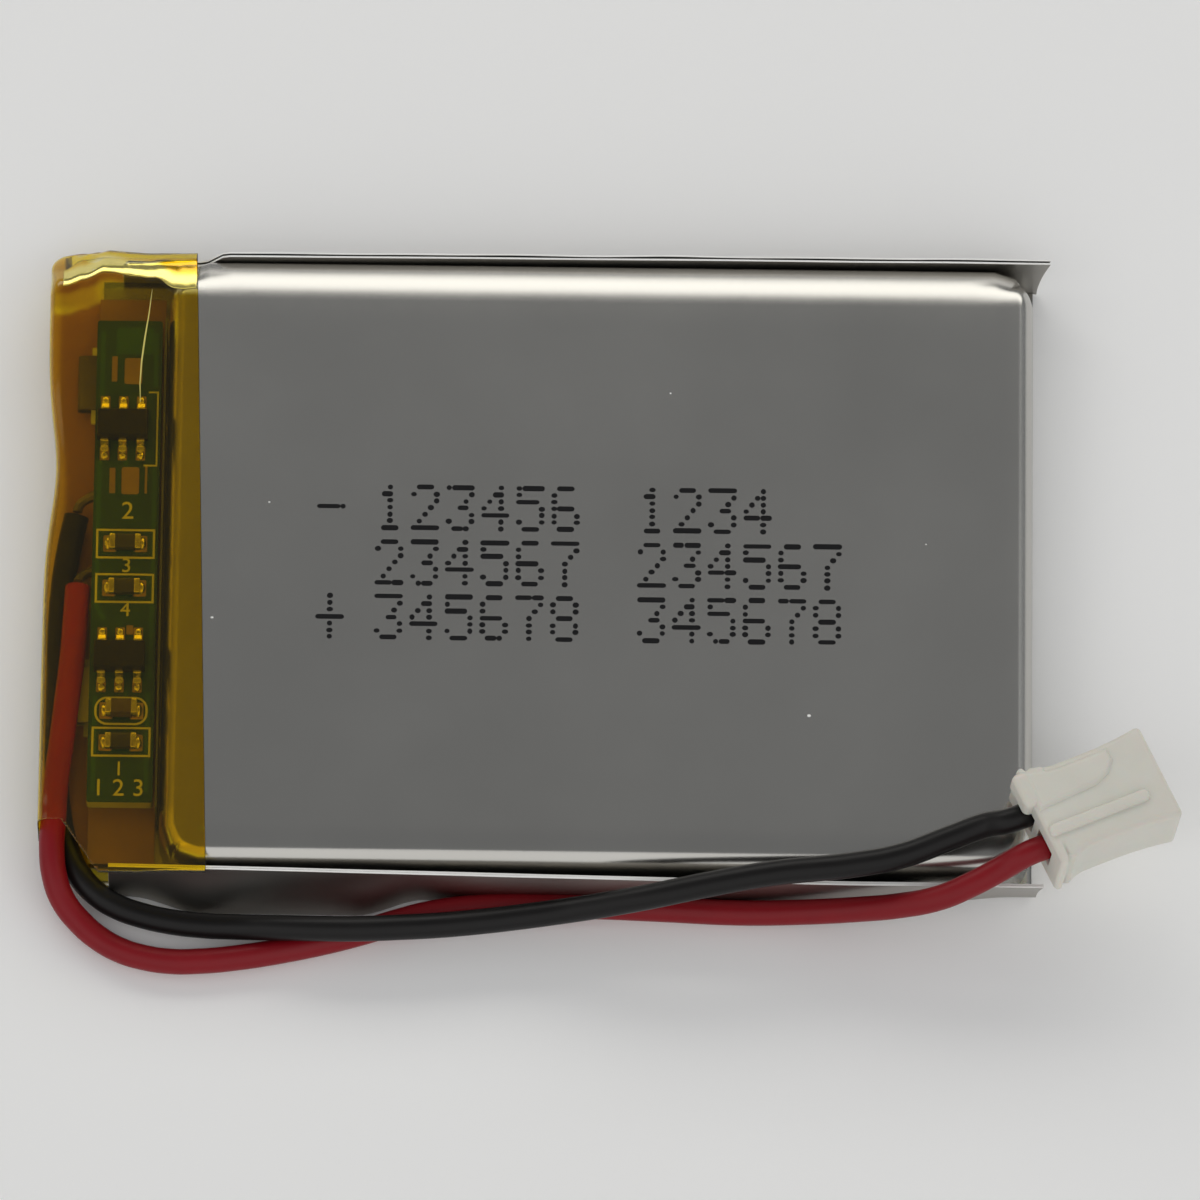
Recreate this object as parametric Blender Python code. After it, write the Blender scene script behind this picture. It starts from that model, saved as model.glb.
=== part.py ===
# Lithium-polymer pouch battery cell with its protection board, leads and plug.
#
# Frame: the origin is the bottom centre of the cell. +X runs along its length, from the board
# end to the folded end of the pouch. +Y runs across it, and +Z is up, through its thickness.
# Sizes below are in millimetres, and MM turns them into metres.

import bmesh
import bpy
from math import cos, exp, pi, radians, sin, sqrt
from mathutils import Vector

MM = 0.001

# ---- Overall sizes ----
CELL_THICKNESS = 4.0       # over the wrap tape
CUP_LENGTH = 44.5          # the drawn pocket that holds the winding
CUP_WIDTH = 32.8
HEAD_LENGTH = 6.15         # from the pocket to the outside of the wrap tape
EAR_REACH = 0.65           # how far the rear seal runs past the folded end

# ---- Pouch film ----
FILM = 0.11                # aluminium laminate
CUP_DRAFT = 0.12           # how far a pocket wall leans in, base to shoulder
CUP_SHOULDER = 1.0         # radius from wall to face
CUP_CORNER = 1.6           # radius in plan
CUP_CORNER_FADE = 0.4      # how fast that radius tightens towards the face
CUP_CORNER_LEAST = 0.3
TERRACE_LENGTH = 3.5       # sealed edge that the tabs come through
TERRACE_RISE = 0.5         # slope of the film beside a sealed tab
SEAL_THICKNESS = 0.2       # two films, heat sealed
SEAL_START = 1.0           # from the terrace's edge to the end of a side seal
SEAL_LEAN_START = 0.35     # how far a rim stands out from its root, at the taped end
SEAL_LEAN_END = 0.9        # and at the free end
SEAL_CURL = 0.35           # share of the lean that is reached at half the height
SEAL_ROOT_GAP = 0.1        # between a pocket wall and the seal beside it
FRONT_EAR_SHARE = 0.5      # the front ear's reach as a share of the rear one's

# ---- Winding ----
CORE_TURNS = 5
CORE_SLIT = 0.18           # half the height of the gap left by the winding blade
ELECTRODE = 0.085
SEPARATOR = 0.045
CORE_GAP = 0.30            # between the winding and the pocket, along the sides
CORE_END_ROOM = 0.3        # past the shoulder, at each end
CORE_LIFT = 0.08           # winding to film, above and below
ARC_STEPS = 6              # chords in each half turn
END_TAPE_LENGTH = 20.0
END_TAPE_WIDTH = 8.0
END_TAPE = 0.03

# ---- Tabs ----
TAB_WIDTH = 3.0
TAB = 0.10
TAB_DEPTH = 8.0            # how far a tab reaches into the winding
NEGATIVE_TAB_Y = 10.9
POSITIVE_TAB_Y = -6.4
NEGATIVE_TAB_BEND = 1.25   # how far a tab's fold stands past the terrace
POSITIVE_TAB_BEND = 1.1
SEALANT_WALL = 0.04        # resin film around a tab
SEALANT_SIDE = 0.6         # its overhang beside the tab
SEALANT_OUT = 0.5          # its overhang past the terrace
TAB_RETURN = 1.9           # length of the folded-back end, over the terrace
TAB_STRAIGHT = 0.2         # how far a tab runs on level, out of the winding
TAB_EASE = (0.45, 0.55)    # length and height of its last slope down to the terrace

# ---- Board ----
BOARD_LENGTH = 26.6
BOARD_WIDTH = 3.35
BOARD = 0.8
BOARD_CENTRE_Y = 0.3
BOARD_TO_CUP = 0.36        # gap that the insulating paper stands in
TAPE_OVER_IC = 0.09        # from the tallest part on the board to the tape over it
PAPER = 0.10
PAPER_HEIGHT = 2.5
PAPER_LENGTH = 27.0
INSULATION = 0.06          # inner tape on the terrace
INSULATION_OUT = 0.15      # its overhang past the terrace
INSULATION_MARGIN = 0.8    # how far it stays in from the pocket's sides
STRIP = 0.12               # nickel strips under the board
STRIP_LENGTH = 1.5
STRIP_INSET = 0.25         # from the terrace's edge

# ---- Parts on the board: size along X, along Y and height ----
CHIP = (1.6, 0.8, 0.45)
CHIP_CAP = 0.3
CHIP_CAP_WALL = 0.03       # how far the caps stand proud
BIG_CHIP = (1.6, 0.85, 0.8)
IC_BODY = (2.6, 1.45, 0.95)
IC_LEAD = (0.4, 0.15)      # width and thickness
IC_LEAD_PITCH = 0.92
IC_LEAD_REACH = 0.62
IC_LEAD_KNEE = 0.4         # where its foot starts, as a share of the reach
IC_STANDOFF = 0.05
IC_BEVEL = 0.12
IC_PARTING = 0.45          # height of the leads' plane, as a share of the body's

# ---- Where the parts stand on the board, along Y ----
PROTECTION_IC_Y = 7.6
PROTECTION_IC_SHIFT = -0.25    # off the board's centre line, along X
SWITCH_IC_Y = -5.2
SWITCH_IC_SHIFT = -0.15
FILTER_RESISTOR_Y = 1.2
SENSE_RESISTOR_Y = -1.25
FILTER_CAPACITOR_Y = -8.0
BRIDGE_RESISTOR_Y = -9.75

# ---- Wrap tape ----
TAPE = 0.06
TAPE_LAP = 1.9             # how far it laps onto the pocket's face
TAPE_SKEW = 0.55           # how far its edge runs out of square, each way
TAPE_DIP = 0.2             # how far it sinks over the board
TAPE_PINCH = 0.5           # hollow in its end, beside the fold of the tab
TAPE_PINCH_Y = 5.0
TAPE_PINCH_SPREAD = 3.5
TAPE_MARGIN = 0.85         # tape past the pocket, at each side
TAPE_MOUTH = 2.9           # how far the lead opening runs in from the tape's side
TAPE_MOUTH_LIP = 1.2       # width of its straight end, from the fold
TAPE_MOUTH_SLOPE = 0.6     # run of its slanted side for each unit outwards
TAPE_CORNER = 0.7          # radius of the fold's edges
TAPE_STEP_TOP = 0.4        # where it leaves the pocket's face
TAPE_STEP_FOOT = 1.2       # where it reaches the level over the board
TAPE_STEP_SHARE = 0.7      # how much of the dip is reached there
TAPE_LEVEL = 0.5           # level stretch before the fold's edge

# ---- Leads ----
LEAD = 1.3                 # over the insulation
LEAD_SPACING = 1.5         # between the points of a lead's tube
CONDUCTOR = 0.5
SOLDER_CLEAR = 0.14        # from a joint's foot to the inner tape on the terrace
SOLDER_REACH = 1.3         # along Y, from the lead's end to the pad
SOLDER_IN = 1.0            # pad's distance from the board's edge
SOLDER_TURN = 0.8          # where the conductor turns in, as a share of the reach
SOLDER_BUTT = 0.25         # between the lead's end and the bared conductor
SOLDER_SWELL_START = 0.6   # share of the conductor that is still thin
SOLDER_SWELL_POWER = 0.8
LEAD_IN_PLUG = 1.5
LEAD_BEHIND_PLUG = 0.9     # a point that lines the lead up with its cavity
LEAD_AT_REAR = 0.3

# ---- Plug ----
PLUG_LENGTH = 6.9
PLUG_WIDTH = 4.8
PLUG_THICKNESS = 3.6
PLUG_WING = 0.5            # the finger grips at the wire end
PLUG_WING_LENGTH = 1.3
PLUG_FLARE = 0.3           # at the mating end
PLUG_CHAMFER = 0.3
PLUG_WING_SOLID = 0.6      # full width up to this share of the wing's length
PLUG_WING_END = 1.4        # and back to the body's width at this one
PLUG_FLARE_START = 0.7     # as a share of the plug's length
PLUG_PITCH = 2.0
PLUG_CAVITY = 1.5
PLUG_RIB = (0.6, 0.25)     # width and height
PLUG_YAW = 25.5            # degrees, about Z
PLUG_DIP = 6.0             # degrees, mating end down
PLUG_IN_X = 0.17           # middle of its wire end, in from the pocket's free end
PLUG_IN_Y = 1.18           # in from the pocket's front side
PLUG_OVER_FACE = 1.95      # and above the pocket's face
CONTACT = 1.2
CONTACT_LENGTH = 3.6
CONTACT_BORE = 0.7
CONTACT_BORE_DEPTH = 2.6
CONTACT_BARREL_LENGTH = 1.0
CONTACT_BARREL_SHARE = 0.75    # barrel's width as a share of the socket's
CUT_THROUGH = 1.0          # how far a cutter runs past what it cuts

# ---- Clearances ----
SKIN_GAP = 0.04            # between films, tapes and sheets that touch
FIT_GAP = 0.08             # between pieces that stand side by side

# ---- Heights, from the resting surface up ----
back_bottom = TAPE + SKIN_GAP
back_top = back_bottom + FILM
cup_bottom = back_top + SKIN_GAP
cup_top = CELL_THICKNESS - TAPE - SKIN_GAP
core_bottom = back_top + CORE_LIFT
core_top = cup_top - FILM - CORE_LIFT
core_middle = (core_bottom + core_top) / 2
sealant_bottom = back_top + SKIN_GAP
tab_bottom = sealant_bottom + SEALANT_WALL + SKIN_GAP / 2
tab_top = tab_bottom + TAB
sealant_top = tab_top + SKIN_GAP / 2 + SEALANT_WALL
terrace_bump = sealant_top + SKIN_GAP
insulation_bottom = terrace_bump + FILM + SKIN_GAP
return_bottom = insulation_bottom + INSULATION + SKIN_GAP
strip_bottom = return_bottom + TAB + SKIN_GAP
board_top = CELL_THICKNESS - TAPE_DIP - TAPE - TAPE_OVER_IC - IC_BODY[2] - IC_STANDOFF
board_bottom = board_top - BOARD
solder_size = board_bottom - SKIN_GAP - insulation_bottom - INSULATION - SOLDER_CLEAR
seal_top = CELL_THICKNESS - TAPE_DIP - TAPE - SKIN_GAP

# ---- Places along X ----
total_length = HEAD_LENGTH + CUP_LENGTH + EAR_REACH
tape_left = -total_length / 2
cup_start = tape_left + HEAD_LENGTH
cup_end = cup_start + CUP_LENGTH
terrace_end = cup_start - TERRACE_LENGTH
core_start = cup_start + FILM + CUP_SHOULDER + CORE_END_ROOM
core_end = cup_end - FILM - CUP_SHOULDER
board_right = cup_start - BOARD_TO_CUP
board_left = board_right - BOARD_WIDTH
board_middle = (board_left + board_right) / 2

# ---- Places across Y ----
cup_side = CUP_WIDTH / 2
seal_root = cup_side + SEAL_ROOT_GAP
tape_side = cup_side + TAPE_MARGIN

# ---- Middle of the plug's wire end ----
plug_rear = (cup_end - PLUG_IN_X, -cup_side + PLUG_IN_Y, cup_top + PLUG_OVER_FACE)

# ---- Routes of the leads, from the board to the plug ----
BLACK_ROUTE = [
    (-24.10, 3.30, 1.15), (-24.45, 1.60, 0.92), (-24.72, -0.30, 0.78), (-24.88, -2.40, 0.74),
    (-24.89, -5.00, 0.74), (-24.89, -7.50, 0.74), (-24.87, -10.20, 0.74), (-24.66, -12.70, 0.76),
    (-24.20, -14.90, 0.94), (-23.52, -16.37, 1.08), (-22.50, -17.44, 0.98), (-21.44, -18.02, 0.80),
    (-20.40, -18.36, 0.72), (-19.14, -18.66, 0.72), (-17.36, -18.90, 0.76), (-15.32, -19.10, 1.10),
    (-13.30, -19.34, 1.68), (-11.25, -19.50, 2.04), (-9.22, -19.52, 2.14), (-7.20, -19.42, 2.15),
    (-5.18, -19.28, 2.15), (-3.16, -19.06, 2.15), (-1.13, -18.80, 2.20), (0.89, -18.58, 2.45),
    (2.91, -18.52, 3.20), (5.43, -18.40, 4.22), (7.95, -18.00, 4.72), (11.73, -17.24, 4.74),
    (15.52, -16.76, 4.72), (18.04, -16.25, 4.75), (20.56, -15.31, 4.95), (22.40, -14.72, 5.35),
]
RED_ROUTE = [
    (-23.92, -0.90, 1.88), (-24.00, -2.64, 1.88), (-24.10, -4.63, 1.92), (-24.30, -6.89, 2.06),
    (-24.54, -9.41, 2.14), (-24.78, -11.62, 2.16), (-24.87, -13.79, 2.14), (-24.92, -15.37, 2.02),
    (-24.74, -16.76, 1.68), (-24.32, -17.79, 1.24), (-23.44, -18.83, 0.84), (-22.41, -19.68, 0.67),
    (-21.39, -20.26, 0.66), (-20.37, -20.60, 0.66), (-18.84, -20.84, 0.66), (-17.32, -20.81, 0.66),
    (-15.30, -20.58, 0.66), (-13.28, -20.21, 0.66), (-11.26, -19.75, 0.66), (-9.24, -19.18, 0.66),
    (-7.48, -18.58, 0.66), (-5.71, -18.06, 0.66), (-3.18, -17.68, 0.66), (0.12, -17.56, 0.66),
    (2.91, -17.58, 0.66), (5.95, -17.68, 0.66), (10.02, -17.84, 0.70), (13.05, -17.94, 1.15),
    (16.08, -18.19, 2.30), (18.08, -18.36, 3.30), (20.08, -18.30, 4.30), (21.63, -17.80, 4.88),
    (23.30, -17.00, 5.36),
]


# ---------------------------------------------------------------- helpers

def clear_scene():
    for thing in list(bpy.data.objects):
        bpy.data.objects.remove(thing, do_unlink=True)


def finish(name, colour, roughness, metallic):
    material = bpy.data.materials.new(name)
    material.use_nodes = True
    shader = material.node_tree.nodes["Principled BSDF"]
    shader.inputs["Base Color"].default_value = (*colour, 1.0)
    shader.inputs["Roughness"].default_value = roughness
    shader.inputs["Metallic"].default_value = metallic
    return material


def place_object(name, data, material):
    thing = bpy.data.objects.new(name, data)
    thing.data.materials.append(material)
    bpy.context.collection.objects.link(thing)
    return thing


def as_cutter(thing):
    thing.hide_render = True
    thing.display_type = 'WIRE'
    return thing


def loft(name, rings, material, ring_is_closed_path=False, smooth_angle=None):
    # A skin through rings of equal length. Its ends are capped, or else the last ring
    # runs back to the first, which leaves a hole through the solid.
    shape = bmesh.new()
    loops = [[shape.verts.new(Vector(point) * MM) for point in ring] for ring in rings]
    pairs = list(zip(loops, loops[1:]))
    if ring_is_closed_path:
        pairs.append((loops[-1], loops[0]))
    else:
        shape.faces.new(reversed(loops[0]))
        shape.faces.new(loops[-1])
    for lower, upper in pairs:
        for i in range(len(lower)):
            j = (i + 1) % len(lower)
            shape.faces.new((lower[i], lower[j], upper[j], upper[i]))
    bmesh.ops.recalc_face_normals(shape, faces=shape.faces)
    mesh = bpy.data.meshes.new(name)
    shape.to_mesh(mesh)
    shape.free()
    if smooth_angle:
        mesh.shade_smooth()
        mesh.set_sharp_from_angle(angle=radians(smooth_angle))
    return place_object(name, mesh, material)


def box_rings(x0, x1, y0, y1, z0, z1):
    plan = [(x0, y0), (x1, y0), (x1, y1), (x0, y1)]
    return [[(x, y, z) for x, y in plan] for z in (z0, z1)]


def rounded_plan(x0, x1, y0, y1, radius, z, steps=4):
    corners = [(x1 - radius, y1 - radius, 0), (x0 + radius, y1 - radius, 90),
               (x0 + radius, y0 + radius, 180), (x1 - radius, y0 + radius, 270)]
    ring = []
    for cx, cy, start in corners:
        for k in range(steps + 1):
            angle = radians(start + 90 * k / steps)
            ring.append((cx + radius * cos(angle), cy + radius * sin(angle), z))
    return ring


def thickened(path, thickness):
    # The outline of a flat strip, from a path along its outer side. The strip's body
    # lies on the left of the path.
    inner = []
    for i, point in enumerate(path):
        before = Vector(path[max(i - 1, 0)])
        after = Vector(path[min(i + 1, len(path) - 1)])
        here = Vector(point)
        first = (here - before) if i else (after - here)
        second = (after - here) if i < len(path) - 1 else (here - before)
        first = first.normalized()
        second = second.normalized()
        normal = Vector((-first.y - second.y, first.x + second.x)).normalized()
        stretch = normal.dot(Vector((-first.y, first.x)))
        inner.append(tuple(here + normal * thickness / stretch))
    return list(path) + inner[::-1]


def arc(cx, cz, radius, start, end, steps):
    angles = [radians(start + (end - start) * k / steps) for k in range(steps + 1)]
    return [(cx + radius * cos(a), cz + radius * sin(a)) for a in angles]


def smooth_route(points, spacing):
    # Evenly spaced points on a centripetal Catmull-Rom curve through the given ones.
    knots = [Vector(p) for p in points]
    knots.insert(0, knots[0] * 2 - knots[1])
    knots.append(knots[-1] * 2 - knots[-2])
    dense = []
    for i in range(1, len(knots) - 2):
        p = knots[i - 1:i + 3]
        t = [0.0]
        for a, b in zip(p, p[1:]):
            t.append(t[-1] + sqrt((b - a).length))
        for k in range(20):
            u = t[1] + (t[2] - t[1]) * k / 20
            level = list(p)
            for order in (1, 2, 3):
                level = [blend_knots(level[n], level[n + 1], t, n, order, u)
                         for n in range(4 - order)]
            dense.append(level[0])
    dense.append(knots[-2])
    return even_points(dense, spacing)


def blend_knots(a, b, t, n, order, u):
    # One step of the Barry and Goldman pyramid.
    if order == 3:
        low, high = t[1], t[2]
    else:
        low, high = t[n], t[n + order]
    return a * ((high - u) / (high - low)) + b * ((u - low) / (high - low))


def even_points(dense, spacing):
    lengths = [0.0]
    for a, b in zip(dense, dense[1:]):
        lengths.append(lengths[-1] + (b - a).length)
    count = max(2, round(lengths[-1] / spacing))
    result = []
    k = 0
    for n in range(count + 1):
        target = lengths[-1] * n / count
        while k < len(dense) - 2 and lengths[k + 1] < target:
            k += 1
        share = (target - lengths[k]) / (lengths[k + 1] - lengths[k])
        result.append(dense[k].lerp(dense[k + 1], share))
    return result


def tube(name, points, diameter, material, swell=None):
    curve = bpy.data.curves.new(name, 'CURVE')
    curve.dimensions = '3D'
    curve.fill_mode = 'FULL'
    curve.bevel_depth = diameter / 2 * MM
    curve.bevel_resolution = 2
    curve.use_fill_caps = True
    spline = curve.splines.new('POLY')
    spline.points.add(len(points) - 1)
    for i, point in enumerate(points):
        spline.points[i].co = (*(Vector(point) * MM), 1.0)
        if swell:
            spline.points[i].radius = swell[i]
    return place_object(name, curve, material)


# ---------------------------------------------------------------- pouch

def cup_shell(finish_film):
    # The drawn pocket: walls that lean in, a rounded shoulder and a flat face.
    def ring(inset, z):
        radius = max(CUP_CORNER - inset * CUP_CORNER_FADE, CUP_CORNER_LEAST)
        return rounded_plan(cup_start + inset, cup_end - inset, -cup_side + inset,
                            cup_side - inset, radius, z)

    def skin(wall, top, shoulder):
        rings = [ring(wall, cup_bottom)]
        steps = 5
        for k in range(steps + 1):
            angle = radians(90 * k / steps)
            inset = wall + CUP_DRAFT + shoulder * (1 - cos(angle))
            rings.append(ring(inset, top - shoulder * (1 - sin(angle))))
        return rings

    outer = skin(0.0, cup_top, CUP_SHOULDER)
    inner = skin(FILM, cup_top - FILM, CUP_SHOULDER - FILM)
    cup = loft("front_film_cup", inner[::-1] + outer, finish_film, smooth_angle=40)
    for label, y in (("negative", NEGATIVE_TAB_Y), ("positive", POSITIVE_TAB_Y)):
        half = TAB_WIDTH / 2 + SEALANT_SIDE + FIT_GAP
        rings = box_rings(cup_start - CUP_SHOULDER / 2, cup_start + FILM + CUP_SHOULDER / 2,
                          y - half, y + half, back_bottom, terrace_bump + FILM)
        notch = as_cutter(loft("notch_" + label, rings, finish_film))
        cut = cup.modifiers.new("notch_" + label, 'BOOLEAN')
        cut.object = notch
        cut.operation = 'DIFFERENCE'
    return cup


def back_sheet(finish_film):
    rings = [rounded_plan(terrace_end, cup_end, -cup_side, cup_side, CUP_CORNER / 2, z)
             for z in (back_bottom, back_top)]
    return loft("back_film", rings, finish_film)


def terrace_sheet(finish_film):
    # The front film's edge lies on the back film and rises over each sealed tab.
    lower = [(-cup_side, cup_bottom)]
    for y in sorted((NEGATIVE_TAB_Y, POSITIVE_TAB_Y)):
        half = TAB_WIDTH / 2 + SEALANT_SIDE + FIT_GAP
        lower += [(y - half - TERRACE_RISE, cup_bottom), (y - half, terrace_bump),
                  (y + half, terrace_bump), (y + half + TERRACE_RISE, cup_bottom)]
    lower.append((cup_side, cup_bottom))
    outline = lower + [(y, z + FILM) for y, z in reversed(lower)]
    rings = [[(x, y, z) for y, z in outline] for x in (terrace_end, cup_start - FIT_GAP)]
    return loft("terrace_film", rings, finish_film)


def side_seal(name, side, ear, finish_film):
    # A heat-sealed edge, folded up beside the pocket. It leans out towards its free end,
    # and its ear stands past the folded end, furthest at the rim.
    start = terrace_end + SEAL_START
    stations = 10
    rings = []
    for k in range(stations + 1):
        share = k / stations
        root_x = start + (cup_end - start) * share
        rim_x = start + (cup_end + ear - start) * share
        lean = SEAL_LEAN_START + (SEAL_LEAN_END - SEAL_LEAN_START) * sin(share * pi / 2)
        curl = lean * SEAL_CURL
        middle_x = (root_x + rim_x) / 2
        middle_z = (back_bottom + seal_top) / 2
        path = [(root_x, seal_root, back_bottom), (middle_x, seal_root + curl, middle_z),
                (rim_x, seal_root + lean, seal_top)]
        inside = [(x, side * y, z) for x, y, z in path]
        outside = [(x, side * (y + SEAL_THICKNESS), z) for x, y, z in reversed(path)]
        rings.append(inside + outside)
    return loft(name, rings, finish_film, smooth_angle=30)


# ---------------------------------------------------------------- winding

def wound_sheet(name, offset, thickness, turns, material):
    # One sheet of the flat winding. Every sheet turns about the same two centres.
    outer_radius = (core_top - core_bottom) / 2
    pitch = (outer_radius - CORE_SLIT) / CORE_TURNS
    half_flat = cup_side - FILM - CUP_DRAFT - CORE_GAP - outer_radius

    def side_path(extra):
        path = []
        for half_turn in range(2 * turns):
            sign = 1 if half_turn % 2 == 0 else -1
            for k in range(ARC_STEPS + 1):
                share = (half_turn + k / ARC_STEPS) / 2
                radius = CORE_SLIT + pitch * share + offset + extra
                radius = min(radius, outer_radius)
                angle = -pi / 2 + pi * k / ARC_STEPS
                path.append((sign * (half_flat + radius * cos(angle)),
                             core_middle + sign * radius * sin(angle)))
        return path

    outline = side_path(thickness) + side_path(0.0)[::-1]
    rings = [[(x, y, z) for y, z in outline] for x in (core_start, core_end)]
    return loft(name, rings, material, smooth_angle=50)


def winding(finishes):
    pitch = ((core_top - core_bottom) / 2 - CORE_SLIT) / CORE_TURNS
    spare = (pitch - 2 * ELECTRODE - 2 * SEPARATOR) / 4
    layers = [("separator_inner", SEPARATOR, finishes["separator"]),
              ("cathode_sheet", ELECTRODE, finishes["cathode"]),
              ("separator_outer", SEPARATOR, finishes["separator"]),
              ("anode_sheet", ELECTRODE, finishes["anode"])]
    offset = 0.0
    for name, thickness, material in layers:
        wound_sheet(name, offset, thickness, CORE_TURNS - 1, material)
        offset += thickness + spare
    low = core_top + (CORE_LIFT - END_TAPE) / 2
    middle = (core_start + core_end) / 2
    rings = box_rings(middle - END_TAPE_LENGTH / 2, middle + END_TAPE_LENGTH / 2,
                      -END_TAPE_WIDTH / 2, END_TAPE_WIDTH / 2, low, low + END_TAPE)
    loft("core_end_tape", rings, finishes["amber"])


# ---------------------------------------------------------------- tabs

def tab(name, y, bend, material):
    # From the slit of the winding, down to the terrace, out of the seal and folded back.
    fold_radius = (return_bottom - tab_bottom) / 2
    fold_x = terrace_end - bend + fold_radius + TAB
    down_x = cup_start + FILM + CUP_DRAFT
    slit_z = core_middle + TAB / 2
    ease_length, ease_height = TAB_EASE
    path = [(core_start + TAB_DEPTH, slit_z), (core_start - TAB_STRAIGHT, slit_z),
            (down_x + ease_length, tab_top + ease_height), (down_x, tab_top)]
    path += arc(fold_x, tab_top + fold_radius - TAB / 2, fold_radius - TAB / 2, -90, -270, 6)
    path.append((terrace_end + TAB_RETURN, return_bottom))
    outline = thickened(path, TAB)
    rings = [[(px, y + side * TAB_WIDTH / 2, pz) for px, pz in outline] for side in (-1, 1)]
    return loft(name, rings, material)


def tab_sealant(name, y, material):
    # A resin sleeve around the tab, where the two films are sealed onto it.
    x0 = terrace_end - SEALANT_OUT
    x1 = cup_start - FIT_GAP

    def ring(x, half, low, high):
        return [(x, y - half, low), (x, y + half, low), (x, y + half, high), (x, y - half, high)]

    outer = TAB_WIDTH / 2 + SEALANT_SIDE
    hole = TAB_WIDTH / 2 + SKIN_GAP
    low = tab_bottom - SKIN_GAP / 2
    high = tab_top + SKIN_GAP / 2
    rings = [ring(x0, outer, sealant_bottom, sealant_top),
             ring(x1, outer, sealant_bottom, sealant_top),
             ring(x1, hole, low, high), ring(x0, hole, low, high)]
    return loft(name, rings, material, ring_is_closed_path=True)


def nickel_strip(name, y, material):
    # A strip soldered under the board, folded round onto the returned end of the tab.
    top = board_bottom - SKIN_GAP
    left = terrace_end + STRIP_INSET
    right = left + STRIP_LENGTH
    radius = (top - strip_bottom) / 2
    path = [(right, top)]
    path += arc(left + radius, strip_bottom + radius, radius, 90, 270, 6)
    path.append((right, strip_bottom))
    outline = thickened(path, STRIP)
    rings = [[(px, y + side * TAB_WIDTH / 2, pz) for px, pz in outline] for side in (-1, 1)]
    return loft(name, rings, material)


# ---------------------------------------------------------------- board

def chip_part(name, y, size, material):
    # A ceramic body with a metal cap at each end.
    length, width, height = size
    z0 = board_top + SKIN_GAP

    def ring(x, shrink):
        half = width / 2 - shrink
        return [(x, y - half, z0 + shrink), (x, y + half, z0 + shrink),
                (x, y + half, z0 + height - shrink), (x, y - half, z0 + height - shrink)]

    left = board_middle - length / 2
    right = board_middle + length / 2
    rings = [ring(left, 0), ring(left + CHIP_CAP, 0), ring(left + CHIP_CAP, CHIP_CAP_WALL),
             ring(right - CHIP_CAP, CHIP_CAP_WALL), ring(right - CHIP_CAP, 0), ring(right, 0)]
    return loft(name, rings, material)


def six_lead_ic(name, x, y, finishes):
    length, width, height = IC_BODY
    z0 = board_top + IC_STANDOFF
    parting = z0 + height * IC_PARTING

    def ring(shrink, z):
        return [(x - length / 2 + shrink, y - width / 2 + shrink, z),
                (x + length / 2 - shrink, y - width / 2 + shrink, z),
                (x + length / 2 - shrink, y + width / 2 - shrink, z),
                (x - length / 2 + shrink, y + width / 2 - shrink, z)]

    body = loft(name, [ring(IC_BEVEL, z0), ring(0, parting), ring(IC_BEVEL, z0 + height)],
                finishes["mould"])
    lead_width, lead_thickness = IC_LEAD
    low = board_top + SKIN_GAP
    reach = width / 2 + IC_LEAD_REACH
    knee = width / 2 + IC_LEAD_REACH * IC_LEAD_KNEE
    path = [(-reach, low), (-knee, low), (-width / 2, parting), (width / 2, parting),
            (knee, low), (reach, low)]
    outline = thickened(path, lead_thickness)
    for k in range(3):
        centre = x + (k - 1) * IC_LEAD_PITCH
        rings = [[(centre + side * lead_width / 2, y + py, pz) for py, pz in outline]
                 for side in (-1, 1)]
        lead = as_cutter(loft(name + "_lead_%d" % (k + 1), rings, finishes["tin"]))
        weld = body.modifiers.new("lead_%d" % (k + 1), 'BOOLEAN')
        weld.object = lead
        weld.operation = 'UNION'
    return body


def solder_joint(name, lead_start, lead_direction, material):
    # The bared end of a lead, soldered under the board.
    start = Vector(lead_start) - lead_direction * SOLDER_BUTT
    blob_z = board_bottom - SKIN_GAP - solder_size / 2
    end = Vector((board_left + SOLDER_IN, lead_start[1] + SOLDER_REACH, blob_z))
    turn_z = min((lead_start[2] + blob_z) / 2, blob_z)
    turn = Vector((lead_start[0], lead_start[1] + SOLDER_REACH * SOLDER_TURN, turn_z))
    route = []
    swell = []
    steps = 8
    for k in range(steps + 1):
        share = k / steps
        route.append(start * (1 - share) ** 2 + turn * (2 * share * (1 - share)) + end * share ** 2)
        thick = max(0.0, (share - SOLDER_SWELL_START) / (1 - SOLDER_SWELL_START))
        swell.append(1 + (solder_size / CONDUCTOR - 1) * thick ** SOLDER_SWELL_POWER)
    return tube(name, route, CONDUCTOR, material, swell)


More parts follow.
